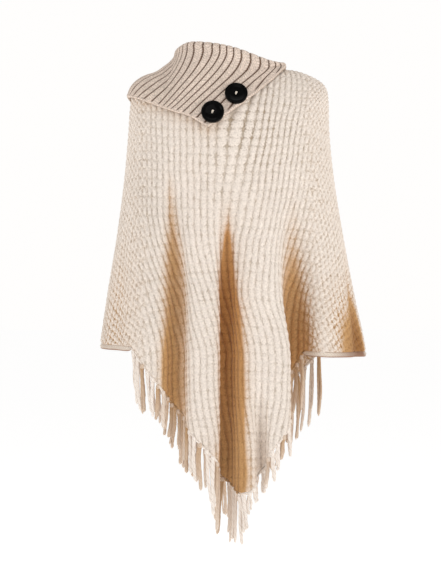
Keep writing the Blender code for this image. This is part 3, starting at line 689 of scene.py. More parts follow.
panels = {
    "front": {"columns": 300, "rows": 276},
    "back": {"columns": 292, "rows": 268},
    "liningStep": 4,
    # distances of the last rows from the hem, and of the plain row above them
    "edges": (0.0012, 0.0003, 0.0),
    "edgeStart": 0.004,
    # how far from the neck, the seams and the hem the bubbles have their whole height
    "fades": (0.010, 0.006, 0.004),
    # unevenness of the knit: size, pitch and seed of each soft noise, across and down
    "wobble": ((0.0022, 0.060, 1, 2), (0.0011, 0.022, 3, 4)),
    # columns that lean: slope, drop where it ends, and where it starts and over which width
    "lean": (0.14, 0.32, -0.03, 0.09),
    # painted shade in brown at the low sides: between two shares of the half width and two heights,
    # how strong
    "sideShade": {
        "left": (0.60, 1.00, -0.24, -0.56, 0.40), "right": (0.67, 0.96, -0.33, -0.57, 1.85),
    },
    "seamFade": 0.04,
    "backSides": 0.4,
    # shadow below the collar: how strong, how wide and over which distance it fades, and the
    # samples of the collar's edge and of its slanted end
    "collarShade": (0.25, 0.008, 0.008),
    "collarSamples": (400, 40),
    # how open the knit is: anywhere, at the low sides, on the chest and where the painted shade is
    "openness": (0.29, 0.16, 0.50, 0.3),
    # the low sides lie between two shares of the half width, and are open from a height down
    "openSides": (0.42, 0.80, 0.4),
    # soft spots, as x, z, width, height and strength: open knit on the chest, whose wider gaps also
    # paint shade there, more painted shade at the tip and beside two valleys, and where the painted
    # shade is deep brown
    "chest": (0.045, -0.125, 0.075, 0.085, 1.0),
    "spots": (
        (0.008, -0.790, 0.042, 0.055, 0.90), (0.023, -0.650, 0.016, 0.180, 1.05),
        (-0.118, -0.600, 0.012, 0.090, 0.60), (-0.001, -0.338, 0.010, 0.055, 0.45),
    ),
    "shadeDeepness": (-0.003, -0.490, 0.045, 0.240, 1.0),
    "mostShade": 1.25,
    "mostOpen": 1.2,
    "shadeBlur": 2.6,
    # how much the second set of bubbles stands out in the middle and at the sides, and where it
    # starts and over which share of the half width it grows
    "lattice": (0.30, 1.0, 0.3, 0.5),
    "insideShade": 0.60,
}


def softNoise(x, y, pitch, seed):
    # smooth seeded noise from -1 to 1, with one value per pitch
    count = 64
    values = np.random.default_rng(seed).uniform(-1.0, 1.0, (count, count))
    column, row = np.floor(x / pitch).astype(int), np.floor(y / pitch).astype(int)
    across, down = smoothStep(x / pitch - column), smoothStep(y / pitch - row)

    def level(row):
        left, right = (values[row % count, (column + step) % count] for step in (0, 1))
        return left * (1.0 - across) + right * across

    return level(row) * (1.0 - down) + level(row + 1) * down


def softened(values):
    # values blurred across and down the grid
    spread = panels["shadeBlur"]
    reach = int(3 * spread)
    weights = np.exp(-0.5 * (np.arange(-reach, reach + 1) / spread) ** 2)
    weights /= weights.sum()
    for axis in (0, 1):
        values = np.apply_along_axis(
            lambda line: np.convolve(np.pad(line, reach, mode="edge"), weights, "valid"),
            axis, values,
        )
    return values


def clothGrain(cloth, drops, tip):
    # place of each point in the flat cut, with the knit's slight unevenness
    radius = waffle["neckRadius"] + drops
    turn = (cloth.shares - tip) * np.interp(drops, cloth.drops, cloth.widths) / radius
    stretch = 1.0 - waffle["spread"] * np.maximum(waffle["spreadDrop"] - drops, 0.0)
    x, y = radius * np.sin(turn) * stretch, radius * np.cos(turn)
    grain = np.stack([x, y], axis=-1)
    # columns lean a little towards the right shoulder
    slope, reach, start, width = panels["lean"]
    grain[:, 0] -= slope * np.maximum(reach - drops, 0.0) * smoothStep((x - start) / width)
    for size, pitch, acrossSeed, downSeed in panels["wobble"]:
        grain[:, 0] += size * softNoise(x, y, pitch, acrossSeed)
        grain[:, 1] += size * softNoise(x, y, pitch, downSeed)
    return grain


def bubbleLift(grain, lattice):
    x = 2 * math.pi * grain[..., 0] / waffle["across"]
    y = 2 * math.pi * grain[..., 1] / waffle["down"]
    lift = 0.5 + 0.5 * np.cos(x) * (1.0 - lattice + lattice * np.cos(y))
    return (lift ** waffle["crown"] - waffle["middle"]) * waffle["relief"]


def softSpot(points, spot):
    x, z, width, height, strength = spot
    reach = ((points[..., 0] - x) / width) ** 2 + ((points[..., 2] - z) / height) ** 2
    return strength * np.exp(-reach)


def latticeAt(points):
    middle, sides, start, width = panels["lattice"]
    aside = np.abs(points[..., 0]) / np.abs(points[..., 0]).max()
    return middle + (sides - middle) * smoothStep((aside - start) / width)


def collarShadow(points):
    # strength of the collar's shadow at points of the cloth
    ofEdge, ofEnd = (np.linspace(0.0, 1.0, count) for count in panels["collarSamples"])
    edge = collarLines(ofEdge)[2]
    endLine = collarLines(np.zeros(1))[0] - edge[0]
    edge = np.concatenate([edge, edge[0] + ofEnd[:, None] * endLine])
    tree = KDTree(len(edge))
    for index, place in enumerate(edge):
        tree.insert(place, index)
    tree.balance()
    strength, wide, fade = panels["collarShade"]
    near = np.array([tree.find(place)[2] for place in points.reshape(-1, 3)])
    return strength * np.exp(-np.maximum(near - wide, 0.0) / fade).reshape(points.shape[:-1])


def paintedSideShade(side, points):
    # painted shade in brown of the low sides, at points of level lines that end at a side
    x, z = points[..., 0], points[..., 2]
    brown = np.zeros(x.shape)
    for hand, facing in (("left", -1), ("right", 1)):
        start, end, high, low, strength = panels["sideShade"][hand]
        aside = x * facing / (x * facing).max(axis=-1, keepdims=True)
        rise = smoothStep((aside - start) / (end - start))
        rise = rise * smoothStep((1.0 - aside) / panels["seamFade"])
        brown += strength * rise * smoothStep((high - z) / (high - low)) ** 2
    return brown * (panels["backSides"] if side == "back" else 1.0)


def clothTints(side, points, shades):
    # painted brown shade, openness, how deep the painted brown is and lattice of the knit
    x, z = points[..., 0], points[..., 2]
    start, end, low = panels["openSides"]
    sides = smoothStep((np.abs(x) / np.abs(x).max(axis=1, keepdims=True) - start) / (end - start))
    plain, atSides, atChest, inShade = panels["openness"]
    openness = plain + atSides * sides * smoothStep(-z / low) + inShade * shades
    shade = shades + collarShadow(points)
    if side == "front":
        openness = openness + atChest * softSpot(points, panels["chest"])
        shade = shade + sum(softSpot(points, spot) for spot in panels["spots"])
    shade = np.minimum(shade, panels["mostShade"]) + paintedSideShade(side, points)
    return {
        "shade": np.clip(shade, 0.0, 2.0),
        "openness": np.clip(openness, 0.0, panels["mostOpen"]),
        "shadeDeepness": softSpot(points, panels["shadeDeepness"]),
        "lattice": latticeAt(points),
    }


def makePanel(side):
    _, tip, _, width = pointRule(side)
    inset = body["seamGap"] / 2 / width
    cloth = Cloth(side, np.linspace(inset, 1.0 - inset, panels[side]["columns"] + 1))
    hemDrop = cloth.dropAt(hemHeight(side, cloth))
    plainRows = np.linspace(0.0, 1.0, panels[side]["rows"] - len(panels["edges"]) + 1)
    levels = [(hemDrop - panels["edgeStart"]) * share for share in plainRows]
    levels += [hemDrop - distance for distance in panels["edges"]]
    seam = np.minimum(cloth.shares, 1.0 - cloth.shares) * width
    atNeck, atSeam, atHem = panels["fades"]
    rows = []
    for level in levels:
        points, normals, shade = cloth.at(level)
        normals[[0, -1], 1] = 0.0
        normals = unit(normals)
        grain = clothGrain(cloth, level, tip)
        fade = smoothStep(level / atNeck) * smoothStep(seam / atSeam)
        fade = fade * smoothStep((hemDrop - level) / atHem)
        turned = rolledEdge(hemDrop - level, body["wall"] / 2)
        lift = bubbleLift(grain, latticeAt(points)) * fade - turned
        outer = points + normals * lift[:, None]
        inner = points - normals * (body["wall"] - turned)[:, None]
        rows.append((points, outer, inner, grain, shade))
    plain, outer, inner, grain, shades = map(np.array, zip(*rows))
    inner[-1] = inner[-2]
    step = panels["liningStep"]
    tints = clothTints(side, outer, softened(shades))
    piece = sheetPiece(
        side + "_panel_knit", outer, inner, (step, step), grain, tints,
        panels["insideShade"], knitFinish,
    )
    return piece, plain[::step, ::step]


# Collar: stations from the slanted front end, round the left shoulder and the back, to the right
# shoulder, each with the crest of the fold-over, the middle and edge of the fall, the roundness
# of the fold and the place of the stand's foot round the neck edge in degrees
collar = {
    "wall": 0.0045,
    "ribs": 27,
    "ribColumns": 16,
    # ribs that are added from a share of the length on, over a share of it
    "moreRibs": ((2.6, 0.0, 0.35), (2.2, 0.32, 0.25)),
    "ribSlant": 14.5,
    "slantFade": (0.35, 0.65),
    "ribHeight": 0.0021,
    "furrowWidth": 0.17,
    # shares of the height that a rib's side and its furrow lose
    "ribFall": (0.25, 0.75),
    # distances from the foot: where the ribs start, and over which they grow
    "ribStart": (0.004, 0.012),
    # beads along the slanted end and the lower edge: height, distance and half width
    "endBead": (0.0011, 0.003, 0.0022),
    "edgeBead": (0.0008, 0.003, 0.002),
    "mostTurned": 0.45,
    # plain knit before the ribs start: at the slanted end and at the lower edge
    "plainEnd": (0.004, 0.004),
    "plainEdge": (0.002, 0.004),
    # shade of the slanted end: how strong, how it fades up from the edge, and how wide it is
    "endShade": (0.10, 2.0, 0.006),
    # shade inside the neck: how strong, how far up, and on the lining
    "neckShade": (0.5, 0.03),
    "insideShade": 0.3,
    "clearance": 0.0036,
    "crestSpread": 1.5,
    "standRows": 8,
    "crestRows": 14,
    "fallRows": 90,
    "liningSteps": (2, 4),
    "crestHang": 0.6,
    "crestHangFade": 4,
    "columns": (
        "crestX", "crestY", "crestZ", "middleX", "middleY", "middleZ",
        "edgeX", "edgeY", "edgeZ", "roundness", "foot",
    ),
    "stations": (
        (0.112, -0.028, 0.012, 0.042, -0.120, -0.063, -0.037, -0.130, -0.126, 0.0050, 14.0),
        (0.078, -0.064, 0.014, -0.002, -0.116, -0.052, -0.072, -0.126, -0.103, 0.0070, 46.0),
        (0.021, -0.088, 0.032, -0.049, -0.113, -0.045, -0.109, -0.117, -0.090, 0.0085, 78.0),
        (-0.022, -0.088, 0.042, -0.085, -0.106, -0.035, -0.134, -0.104, -0.080, 0.0090, 101.0),
        (-0.068, -0.068, 0.048, -0.114, -0.082, -0.029, -0.171, -0.068, -0.064, 0.0090, 128.0),
        (-0.090, -0.034, 0.044, -0.122, -0.040, -0.012, -0.190, -0.028, -0.055, 0.0090, 158.0),
        (-0.094, 0.008, 0.040, -0.142, 0.004, -0.002, -0.199, 0.018, -0.052, 0.0090, 184.0),
        (-0.078, 0.047, 0.040, -0.125, 0.066, -0.016, -0.168, 0.086, -0.078, 0.0090, 212.0),
        (-0.042, 0.071, 0.039, -0.075, 0.108, -0.040, -0.104, 0.130, -0.116, 0.0090, 240.0),
        (0.006, 0.080, 0.036, -0.003, 0.120, -0.046, -0.012, 0.142, -0.130, 0.0090, 272.0),
        (0.056, 0.068, 0.031, 0.066, 0.108, -0.040, 0.078, 0.134, -0.116, 0.0080, 305.0),
        (0.106, 0.029, 0.018, 0.125, 0.076, -0.032, 0.142, 0.102, -0.088, 0.0050, 340.0),
    ),
}


def collarLines(shares):
    # crest, middle and edge of the fall at shares of the collar's length, and the other columns
    stations = table(collar["columns"], collar["stations"])
    knots = np.linspace(0.0, 1.0, len(collar["stations"]))
    at = {name: curveThrough(knots, stations[name], shares) for name in collar["columns"]}
    parts = ("crest", "middle", "edge")
    return *[np.stack([at[part + axis] for axis in "XYZ"], axis=1) for part in parts], at


def neckEdge(degrees):
    # outer points of the neck edge, the way up the cloth there and the outward normals
    rings = table(body["columns"], body["rings"])
    turn = np.radians(degrees)
    across, out = np.cos(turn), np.sin(turn)
    points = []
    for drop in (0.0, body["levelStep"]):
        row = {name: curveThrough(rings["drop"], rings[name], drop) for name in body["columns"]}
        sideZ = np.where(across > 0.0, row["rightZ"], row["leftZ"])
        z = sideZ + (np.where(out > 0.0, row["frontZ"], row["backZ"]) - sideZ) * out**2
        y = -np.where(out > 0.0, row["front"], row["back"]) * out
        x = np.where(across > 0.0, row["right"], row["left"]) * across
        points.append(np.stack([x, y, z], axis=1))
    upward = unit(points[0] - points[1])
    level = points[0] * (1.0, 1.0, 0.0)
    tangent = unit(np.stack([-level[:, 1], level[:, 0], level[:, 2]], axis=1))
    normal = unit(np.cross(tangent, upward))
    facing = np.sign(np.sum(normal * level, axis=1))
    return points[0], upward, normal * facing[:, None]


def outerSurface(grids):
    points, faces = [], []
    for grid, turned in grids:
        base, columns = len(points), grid.shape[1]
        points += [Vector(point) for point in grid.reshape(-1, 3)]
        for row in range(grid.shape[0] - 1):
            for column in range(columns - 1):
                first = base + row * columns + column
                face = [first, first + columns, first + columns + 1, first + 1]
                faces.append(face[::-1] if turned else face)
    return BVHTree.FromPolygons(points, faces)


def liftOff(points, surface, clearance):
    lifted = []
    for place in points.reshape(-1, 3):
        place = Vector(place)
        for _ in range(3):
            nearest, normal, _, _ = surface.find_nearest(place)
            height = (place - nearest).dot(normal)
            if height < clearance:
                place = place + normal * (clearance - height)
        lifted.append(place)
    return np.array(lifted).reshape(points.shape)


def collarFace(shares, surface):
    # rows of points from the stand's foot over the crest down to the edge, and the foot's lip
    crest, middle, edge, at = collarLines(shares)
    out = unit(crest * (1.0, collar["crestSpread"], 0.0))
    rise = np.array([0.0, 0.0, 1.0])
    footEdge, upward, normal = neckEdge(at["foot"])
    lip = footEdge + upward * body["neckGap"]
    foot = lip - normal * collar["wall"]
    radius = at["roundness"][:, None]
    turns = np.radians(np.linspace(180.0, 0.0, collar["crestRows"] + 1))
    arch = [
        crest + radius * (math.cos(turn) * out + (math.sin(turn) - 1.0) * rise) for turn in turns
    ]
    stand = np.linspace(0.0, 1.0, collar["standRows"] + 1)[:-1]
    rows = [foot + (arch[0] - foot) * share for share in stand] + arch
    # the fall leaves the crest straight down and then swings to its edge
    pull = 2 * middle - (arch[-1] + edge) / 2
    slope = 2 * (pull - arch[-1])
    hang = -rise * collar["crestHang"] * np.linalg.norm(slope, axis=1, keepdims=True) - slope
    for v in np.linspace(0.0, 1.0, collar["fallRows"] + 1)[1:]:
        swung = (1 - v) ** 2 * arch[-1] + 2 * v * (1 - v) * pull + v**2 * edge
        rows.append(swung + v * (1 - v) ** collar["crestHangFade"] * hang)
    face, first = np.array(rows), len(stand) + len(arch)
    face[first:] = liftOff(face[first:], surface, collar["wall"] + collar["clearance"])
    return face, lip


def bead(distance, settings):
    height, middle, half = settings
    return height * np.exp(-(((distance - middle) / half) ** 2))


def makeCollar():
    surface = outerSurface(((frontGrid, False), (backGrid, True)))
    shares = np.linspace(0.0, 1.0, collar["ribs"] * collar["ribColumns"] + 1)
    face, lip = collarFace(shares, surface)
    normals = unit(np.cross(np.gradient(face, axis=1), np.gradient(face, axis=0)))
    down = np.cumsum(np.linalg.norm(np.diff(face, axis=0, prepend=face[:1]), axis=2), axis=0)
    toEnd = np.cumsum(np.linalg.norm(np.diff(face, axis=1, prepend=face[:, :1]), axis=2), axis=1)
    toEdge = down[-1] - down
    # the ribs slant towards the front end on their way down the fall
    fallen = np.maximum(down - down[collar["standRows"] + collar["crestRows"]], 0.0)
    start, end = collar["slantFade"]
    slant = collar["ribSlant"] * smoothStep((end - shares) / (end - start))
    extra = sum(
        more * smoothStep((shares - start) / length) for more, start, length in collar["moreRibs"]
    )
    ribs = shares * collar["ribs"] + extra + slant * fallen
    phase = np.abs(ribs % 1.0 - 0.5) * 2.0  # 0 on the crown of a rib, 1 in a furrow
    furrow = np.exp(-(((1.0 - phase) / collar["furrowWidth"]) ** 2))
    ofSide, ofFurrow = collar["ribFall"]
    raised = collar["ribHeight"] * (1.0 - ofSide * phase**2 - ofFurrow * furrow)
    raised = raised + bead(toEnd, collar["endBead"]) + bead(toEdge, collar["edgeBead"])
    half = collar["wall"] / 2
    turned = rolledEdge(toEdge, half) + rolledEdge(toEnd, half)
    turned = np.minimum(turned, collar["wall"] * collar["mostTurned"])
    start, growth = collar["ribStart"]
    lift = (raised - turned) * smoothStep((down - start) / growth)
    outer = face + normals * lift[:, :, None]
    inner = face - normals * collar["wall"]
    inner[0] = lip
    ribbed = 1.0
    for distance, name in ((toEnd, "plainEnd"), (toEdge, "plainEdge")):
        start, growth = collar[name]
        ribbed = ribbed * smoothStep((distance - start) / growth)
    strength, rise, wide = collar["endShade"]
    shade = np.clip(strength - rise * toEdge, 0.0, strength) * (1.0 - smoothStep(toEnd / wide))
    strength, wide = collar["neckShade"]
    shade = shade + strength * smoothStep((wide - down) / wide)
    return sheetPiece(
        "collar_ribbed", outer, inner, collar["liningSteps"], np.stack([ribs, down], axis=-1),
        {"shade": shade, "ribbed": ribbed}, collar["insideShade"], ribFinish,
    )


frontPanel, frontGrid = makePanel("front")
backPanel, backGrid = makePanel("back")
collarPiece = makeCollar()
print("collar made")


# Edging bands on the level hems: samples in each step, sides round a band, its half height, the
# ridges along it, the rings that round off its ends, how much of the cloth's painted shade it
# takes, and the painted shade on its lower side
edging = {
    "samples": 5,
    "sides": 16,
    "halfHeight": 0.0048,
    "squareness": 0.8,
    "ridges": (4, 0.0007),
    "taper": (3, 0.3),
    "brown": 0.55,
    "underShade": (-0.5, 1.8),
}


def tubeShell(path, sideways, forward, across, out, phase=0.0):
    # closed shell round a path, from how far the corners of each ring reach
    count, sides = across.shape
    rings = path[:, None] + sideways[:, None] * across[:, :, None]
    rings = rings + forward[:, None] * out[:, :, None]
    ring = np.arange(sides)
    below = np.arange(count - 1)[:, None] * sides
    low, after = (below + ring).ravel(), (below + (ring + 1) % sides).ravel()
    faces = np.stack([low, after, after + sides, low + sides], axis=1).tolist()
    faces += [ring[::-1].tolist(), (ring + (count - 1) * sides).tolist()]
    along = np.repeat(runningLength(path), sides) + phase
    return rings.reshape(-1, 3), faces, np.stack([np.tile(ring / sides, count), along], axis=1)


def makeCuff(hand):
    stretches = []
    for side in ("front", "back"):
        counts = hems["steps"][side]
        left, right = (0.0, counts[0]) if hand == "left" else (sum(counts[:3]), sum(counts))
        columns = np.linspace(left, right, int((right - left) * edging["samples"]) + 1)
        cloth = hemCloth(side, columns)
        hem = hemHeight(side, cloth)
        top, normals, _ = cloth.at(cloth.dropAt(hem - body["seamGap"]))
        low, _, _ = cloth.at(cloth.dropAt(hem - hems["cuffDepth"]))
        path = (top + low) / 2 - normals * body["wall"] / 2
        brown = paintedSideShade(side, low)[:, None]
        stretch = np.hstack([path, normals, unit(top - low), brown])
        if (hand == "left") == (side == "front"):  # on to the seam
            stretch = stretch[::-1]
        stretches.append(stretch if side == "front" else stretch[1:])
    path, outs, ups, sideShades = np.split(np.concatenate(stretches), (3, 6, 9), axis=1)
    size, (rings, softness) = np.ones(len(path)), edging["taper"]
    small = np.sqrt(1.0 - (np.arange(rings, 0, -1) / (rings + softness)) ** 2)
    size[:rings], size[-rings:] = small, small[::-1]
    turns = np.linspace(0.0, 2 * math.pi, edging["sides"], endpoint=False)
    ridges, height = edging["ridges"]
    across = np.cos(turns) * (body["wall"] / 2 + height * np.cos(ridges * turns))
    out = np.sign(np.sin(turns)) * np.abs(np.sin(turns)) ** edging["squareness"]
    out = out * edging["halfHeight"]
    points, faces, grain = tubeShell(path, outs, ups, size[:, None] * across, size[:, None] * out)
    # painted shade as on the cloth above it, and painted shade on the band's lower side
    start, sharpness = edging["underShade"]
    lower = smoothStep(start - np.sin(2 * math.pi * grain[:, 0]) * sharpness)
    shade = np.clip(np.repeat(sideShades, edging["sides"]) * edging["brown"] + lower, 0.0, 1.0)
    return finishPiece("cuff_" + hand + "_band", points, faces, grain, {"shade": shade}, cuffFinish)


# Fringe. Lengths are given at shares of the slanted hem. A wave has a size, a turn from strand to
# strand and a start. The strands gather in bunches, the last one of a bunch a little behind.
fringe = {
    "lengths": {
        "front": (
            (0.00, 0.104), (0.09, 0.078), (0.17, 0.060), (0.22, 0.092), (0.28, 0.084),
            (0.37, 0.116), (0.44, 0.112), (0.52, 0.094), (0.54, 0.062), (0.58, 0.030),
            (0.65, 0.036), (0.70, 0.052), (0.78, 0.050), (0.84, 0.080), (0.92, 0.110),
            (1.00, 0.100),
        ),
        "back": (
            (0.00, 0.090), (0.60, 0.090), (0.80, 0.110), (0.87, 0.140), (0.93, 0.140),
            (1.00, 0.122),
        ),
    },
    "seeds": {"front": (7, 21), "back": (11, 22)},
    "spread": 0.007,
    "jitter": 0.001,
    "sway": (0.005, 0.5, 0.8),
    "drift": (0.0025, 0.4),
    "bunch": 3,
    "gather": 0.0040,
    "behind": 0.0025,
    # shade: share of the cloth's, what it loses near the tip, and what is added behind and back
    "clothShade": 0.8,
    "paleTip": 0.85,
    "behindShade": 0.85,
    "backShade": 0.45,
    "mostShade": 0.9,
    "knotShade": 0.7,
    "unevenShade": 0.14,
    "endFade": 0.4,
    "tipReach": 0.045,
    # radius, least share of the length, distance aside and waviness of the two yarns
    "yarns": ((0.0036, 0.95, 0.0004, 0.0011), (0.0024, 0.72, 0.0018, 0.0017)),
    "waves": (4.0, 8.0),
    "lean": 0.0028,
    "depth": (0.0025, 0.0006),
    "girths": (0.85, 1.12),
    "swell": (0.93, 0.09),
    "swells": (6.0, 12.0),
    "roundEnd": (0.93, 0.0705),
    "rings": 26,
    "sides": 10,
    "lobeDepth": 0.07,
    "yarnTwist": (2, 520.0),
    # knots: radius, height, rings and unevenness; cord: radius, sides, steps and inset
    "knot": (0.0042, 0.010, 9, (0.8, 1.1)),
    "knotTwist": (3, 500.0),
    "cord": (0.0022, 8, 8, 0.1),
    "cordTwist": (2, 900.0),
    "cordShade": (0.1, 0.9),
}


def tube(path, radii, sides, lobes, twist, phase=0.0):
    # round tube along a path, with the lobes of a twisted yarn
    tangents = unit(np.gradient(path, axis=0))
    sideways = unit(np.cross(tangents, np.array([0.31, 0.95, 0.05])))
    forward = np.cross(tangents, sideways)
    turns = np.linspace(0.0, 2 * math.pi, sides, endpoint=False)
    wave = np.cos(lobes * turns - twist * runningLength(path)[:, None] + phase)
    reach = radii[:, None] * (1.0 + fringe["lobeDepth"] * wave)
    return tubeShell(path, sideways, forward, np.cos(turns) * reach, np.sin(turns) * reach, phase)


class Bundle:  # closed shells that make one piece
    def __init__(self):
        self.points, self.faces, self.grain, self.shade, self.count = [], [], [], [], 0

    def add(self, shell, shade):
        points, faces, grain = shell
        self.faces += [[corner + self.count for corner in face] for face in faces]
        self.points.append(points)
        self.grain.append(grain)
        self.shade.append(np.broadcast_to(shade, len(points)))
        self.count += len(points)

    def piece(self, name, finish):
        parts = [np.concatenate(part) for part in (self.points, self.grain, self.shade)]
        return finishPiece(name, parts[0], self.faces, parts[1], {"shade": parts[2]}, finish)


def addCord(bundle, side, first, last):
    # the cord that the strands are knotted to
    radius, sides, steps, inset = fringe["cord"]
    cloth = hemCloth(side, np.linspace(first + inset, last - inset, (last - first) * steps))
    hem = hemHeight(side, cloth)
    points, normals, shades = cloth.at(cloth.dropAt(hem - hems["stripDepth"] / 2))
    path = points - normals * body["wall"] / 2
    plain, ofCloth = fringe["cordShade"]
    shell = tube(path, np.full(len(path), radius), sides, *fringe["cordTwist"])
    bundle.add(shell, np.repeat(plain + ofCloth * shades, sides))


def addStrand(bundle, uneven, index, root, across, hang, shade):
    # a knot and its two yarns; hang is their length and how far they end up from their root
    length, gather, sway, drift, behind = hang
    radius, height, rings, sizes = fringe["knot"]
    along = np.linspace(-1.0, 1.0, rings)
    radii = np.sqrt(1.02 - along**4) * radius * uneven.uniform(*sizes)
    path = root - along[:, None] / 2 * (0, 0, height)
    knot = tube(path, radii, fringe["sides"], *fringe["knotTwist"], index)
    bundle.add(knot, shade * fringe["knotShade"])
    down = np.linspace(0.0, 1.0, fringe["rings"])
    lean = uneven.uniform(-fringe["lean"], fringe["lean"])
    hand = uneven.choice((-1, 1))
    for radius, least, aside, waviness in fringe["yarns"]:
        own = length * uneven.uniform(least, 1.0)
        hand = -hand
        turns, start = uneven.uniform(*fringe["waves"]), uneven.uniform(0.0, 6.0)
        wave = waviness * (np.sin(down * turns + start) - math.sin(start)) * down**0.5
        swing = hand * aside * (1.0 + uneven.uniform(0.0, 1.0) * down) + lean * down + wave
        swing = swing + gather * down**0.6
        most, step = fringe["depth"]
        depth = uneven.uniform(-most, most) * down + step * hand + behind
        path = root + across * swing[:, None]
        path = path + np.stack([sway * down**2, drift * down**2 + depth, -own * down], axis=1)
        swell = np.sin(down * uneven.uniform(*fringe["swells"]) + uneven.uniform(0.0, 6.0))
        plain, more = fringe["swell"]
        girth = radius * uneven.uniform(*fringe["girths"]) * (plain + more * swell)
        start, reach = fringe["roundEnd"]
        taper = np.sqrt(np.clip(1.0 - ((down - start) / reach).clip(0.0) ** 2, 0.02, 1.0))
        tone = shade + uneven.uniform(0.0, fringe["unevenShade"])
        # the painted shade fades towards the free end of the yarn
        tone = np.clip(tone * (1.0 - fringe["endFade"] * down), 0.0, 1.0)
        twist = (*fringe["yarnTwist"], uneven.uniform(0.0, 6.0))
        shell = tube(path, girth * taper, fringe["sides"], *twist)
        bundle.add(shell, np.repeat(tone, fringe["sides"]))


def makeFringe(side):
    counts = hems["steps"][side]
    first, last = counts[0], sum(counts[:3])
    facing, ofBack = (1.0, 0.0) if side == "front" else (-1.0, fringe["backShade"])
    chance, uneven = (random.Random(seed) for seed in fringe["seeds"][side])
    bundle = Bundle()
    addCord(bundle, side, first, last)
    cloth = hemCloth(side, np.arange(first, last) + 0.5)
    hem = hemHeight(side, cloth)
    roots, normals, shades = cloth.at(cloth.dropAt(hem - hems["stripDepth"]))
    roots = roots - normals * body["wall"] / 2
    tipX = roots[roots[:, 2].argmin(), 0]
    for index, root in enumerate(roots):
        length = np.interp(index / len(roots), *zip(*fringe["lengths"][side]))
        length += chance.uniform(-fringe["spread"], fringe["spread"])
        size, turn, start = fringe["sway"]
        sway = size * math.sin(turn * index + start)
        sway += chance.uniform(-fringe["jitter"], fringe["jitter"])
        size, turn = fringe["drift"]
        drift = size * math.sin(turn * index)
        place = index % fringe["bunch"]
        gather = fringe["gather"] * ((fringe["bunch"] - 1) / 2 - place)
        isLast = place == fringe["bunch"] - 1
        hang = (length, gather, sway, drift, fringe["behind"] * isLast * facing)
        nearTip = math.exp(-(((root[0] - tipX) / fringe["tipReach"]) ** 2))
        # painted shade of a strand: from the cloth above, less near the tip, more behind a bunch
        # and at the back
        shade = fringe["clothShade"] * shades[index] * (1.0 - fringe["paleTip"] * nearTip)
        shade += fringe["behindShade"] * isLast * (1.0 - nearTip) + ofBack
        shade = min(fringe["mostShade"], shade)
        across = unit(np.array([-normals[index][1], normals[index][0], 0.0]))
        addStrand(bundle, uneven, index, root, across, hang, shade)
    return bundle.piece("fringe_" + side + "_yarns", fringeFinish)


cuffs = {hand: makeCuff(hand) for hand in ("left", "right")}
fringes = {side: makeFringe(side) for side in ("front", "back")}
print("edgings and fringes made")


# Buttons: two holes and a stitch in a dished disc. The bowl is cut in steps from the rim inwards,
# each with its width in rims and its rise in depths of the dish.
button = {
    "radius": 0.022,
    "thickness": 0.008,
    "rim": 0.0045,
    "dish": 0.0025,
    "bowl": (
        (0.30, 0.16), (0.45, 0.0), (0.40, -0.45), (0.70, -0.30), (1.00, -0.15), (0.90, -0.06),
    ),
    "foot": (0.8, 0.24),
    "corners": 72,
    "levelFace": 0.9,
    "edge": (0.0011, 4, 40.0),
    "smoothAngle": 35.0,
    "holeRadius": 0.0018,
    "holeOffset": 0.0030,
    "holeCorners": 24,
    "stitchTurn": 68.0,
    # thread: radius, sides, rings, lobes and twist
    "thread": (0.0010, 10, 25, 2, 1500.0),
    # the two strands of the stitch: how far apart, how they close in, depth and rise
    "strands": (0.9, 0.25, 0.0035, 0.0052),
    "black": (0.001, 0.001, 0.001, 1.0),
    "smear": (0.003, 0.003, 0.003, 1.0),
    "smearScale": 120.0,
    "smearStep": (0.3, 0.8),
    "scratchScale": 900.0,
    "roughness": (0.07, 0.10),
    "bump": (0.05, 0.0004),
}


def glossSockets(start):
    place = start.place()
    smear = start.noise(place, button["smearScale"], 3.0)
    scratch = start.noise(place, button["scratchScale"])
    plain, more = button["roughness"]
    return {
        "Base Color": smear.step(*button["smearStep"]).mix(button["black"], button["smear"]),
        "Roughness": plain + smear * more,
        "Normal": scratch.bump(*button["bump"]),
    }


glossFinish = newMaterial("button_gloss", {"Specular IOR Level": 0.06}, glossSockets)
threadFinish = newMaterial("button_thread", wool["shader"], yarnSockets(*yarn["thread"]))


def addCylinder(corners, radius, depth, place):
    bpy.ops.object.select_all(action="DESELECT")
    bpy.ops.mesh.primitive_cylinder_add(
        vertices=corners, radius=radius, depth=depth, location=place
    )
    return bpy.context.active_object


def insetFaces(mesh, facing, steps):
    # insets of the faces that look up or down
    bpy.ops.object.mode_set(mode="OBJECT")
    for face in mesh.polygons:
        face.select = face.normal.z * facing > button["levelFace"]
    bpy.ops.object.mode_set(mode="EDIT")
    for width, rise in steps:
        bpy.ops.mesh.inset(thickness=button["rim"] * width, depth=button["dish"] * rise)


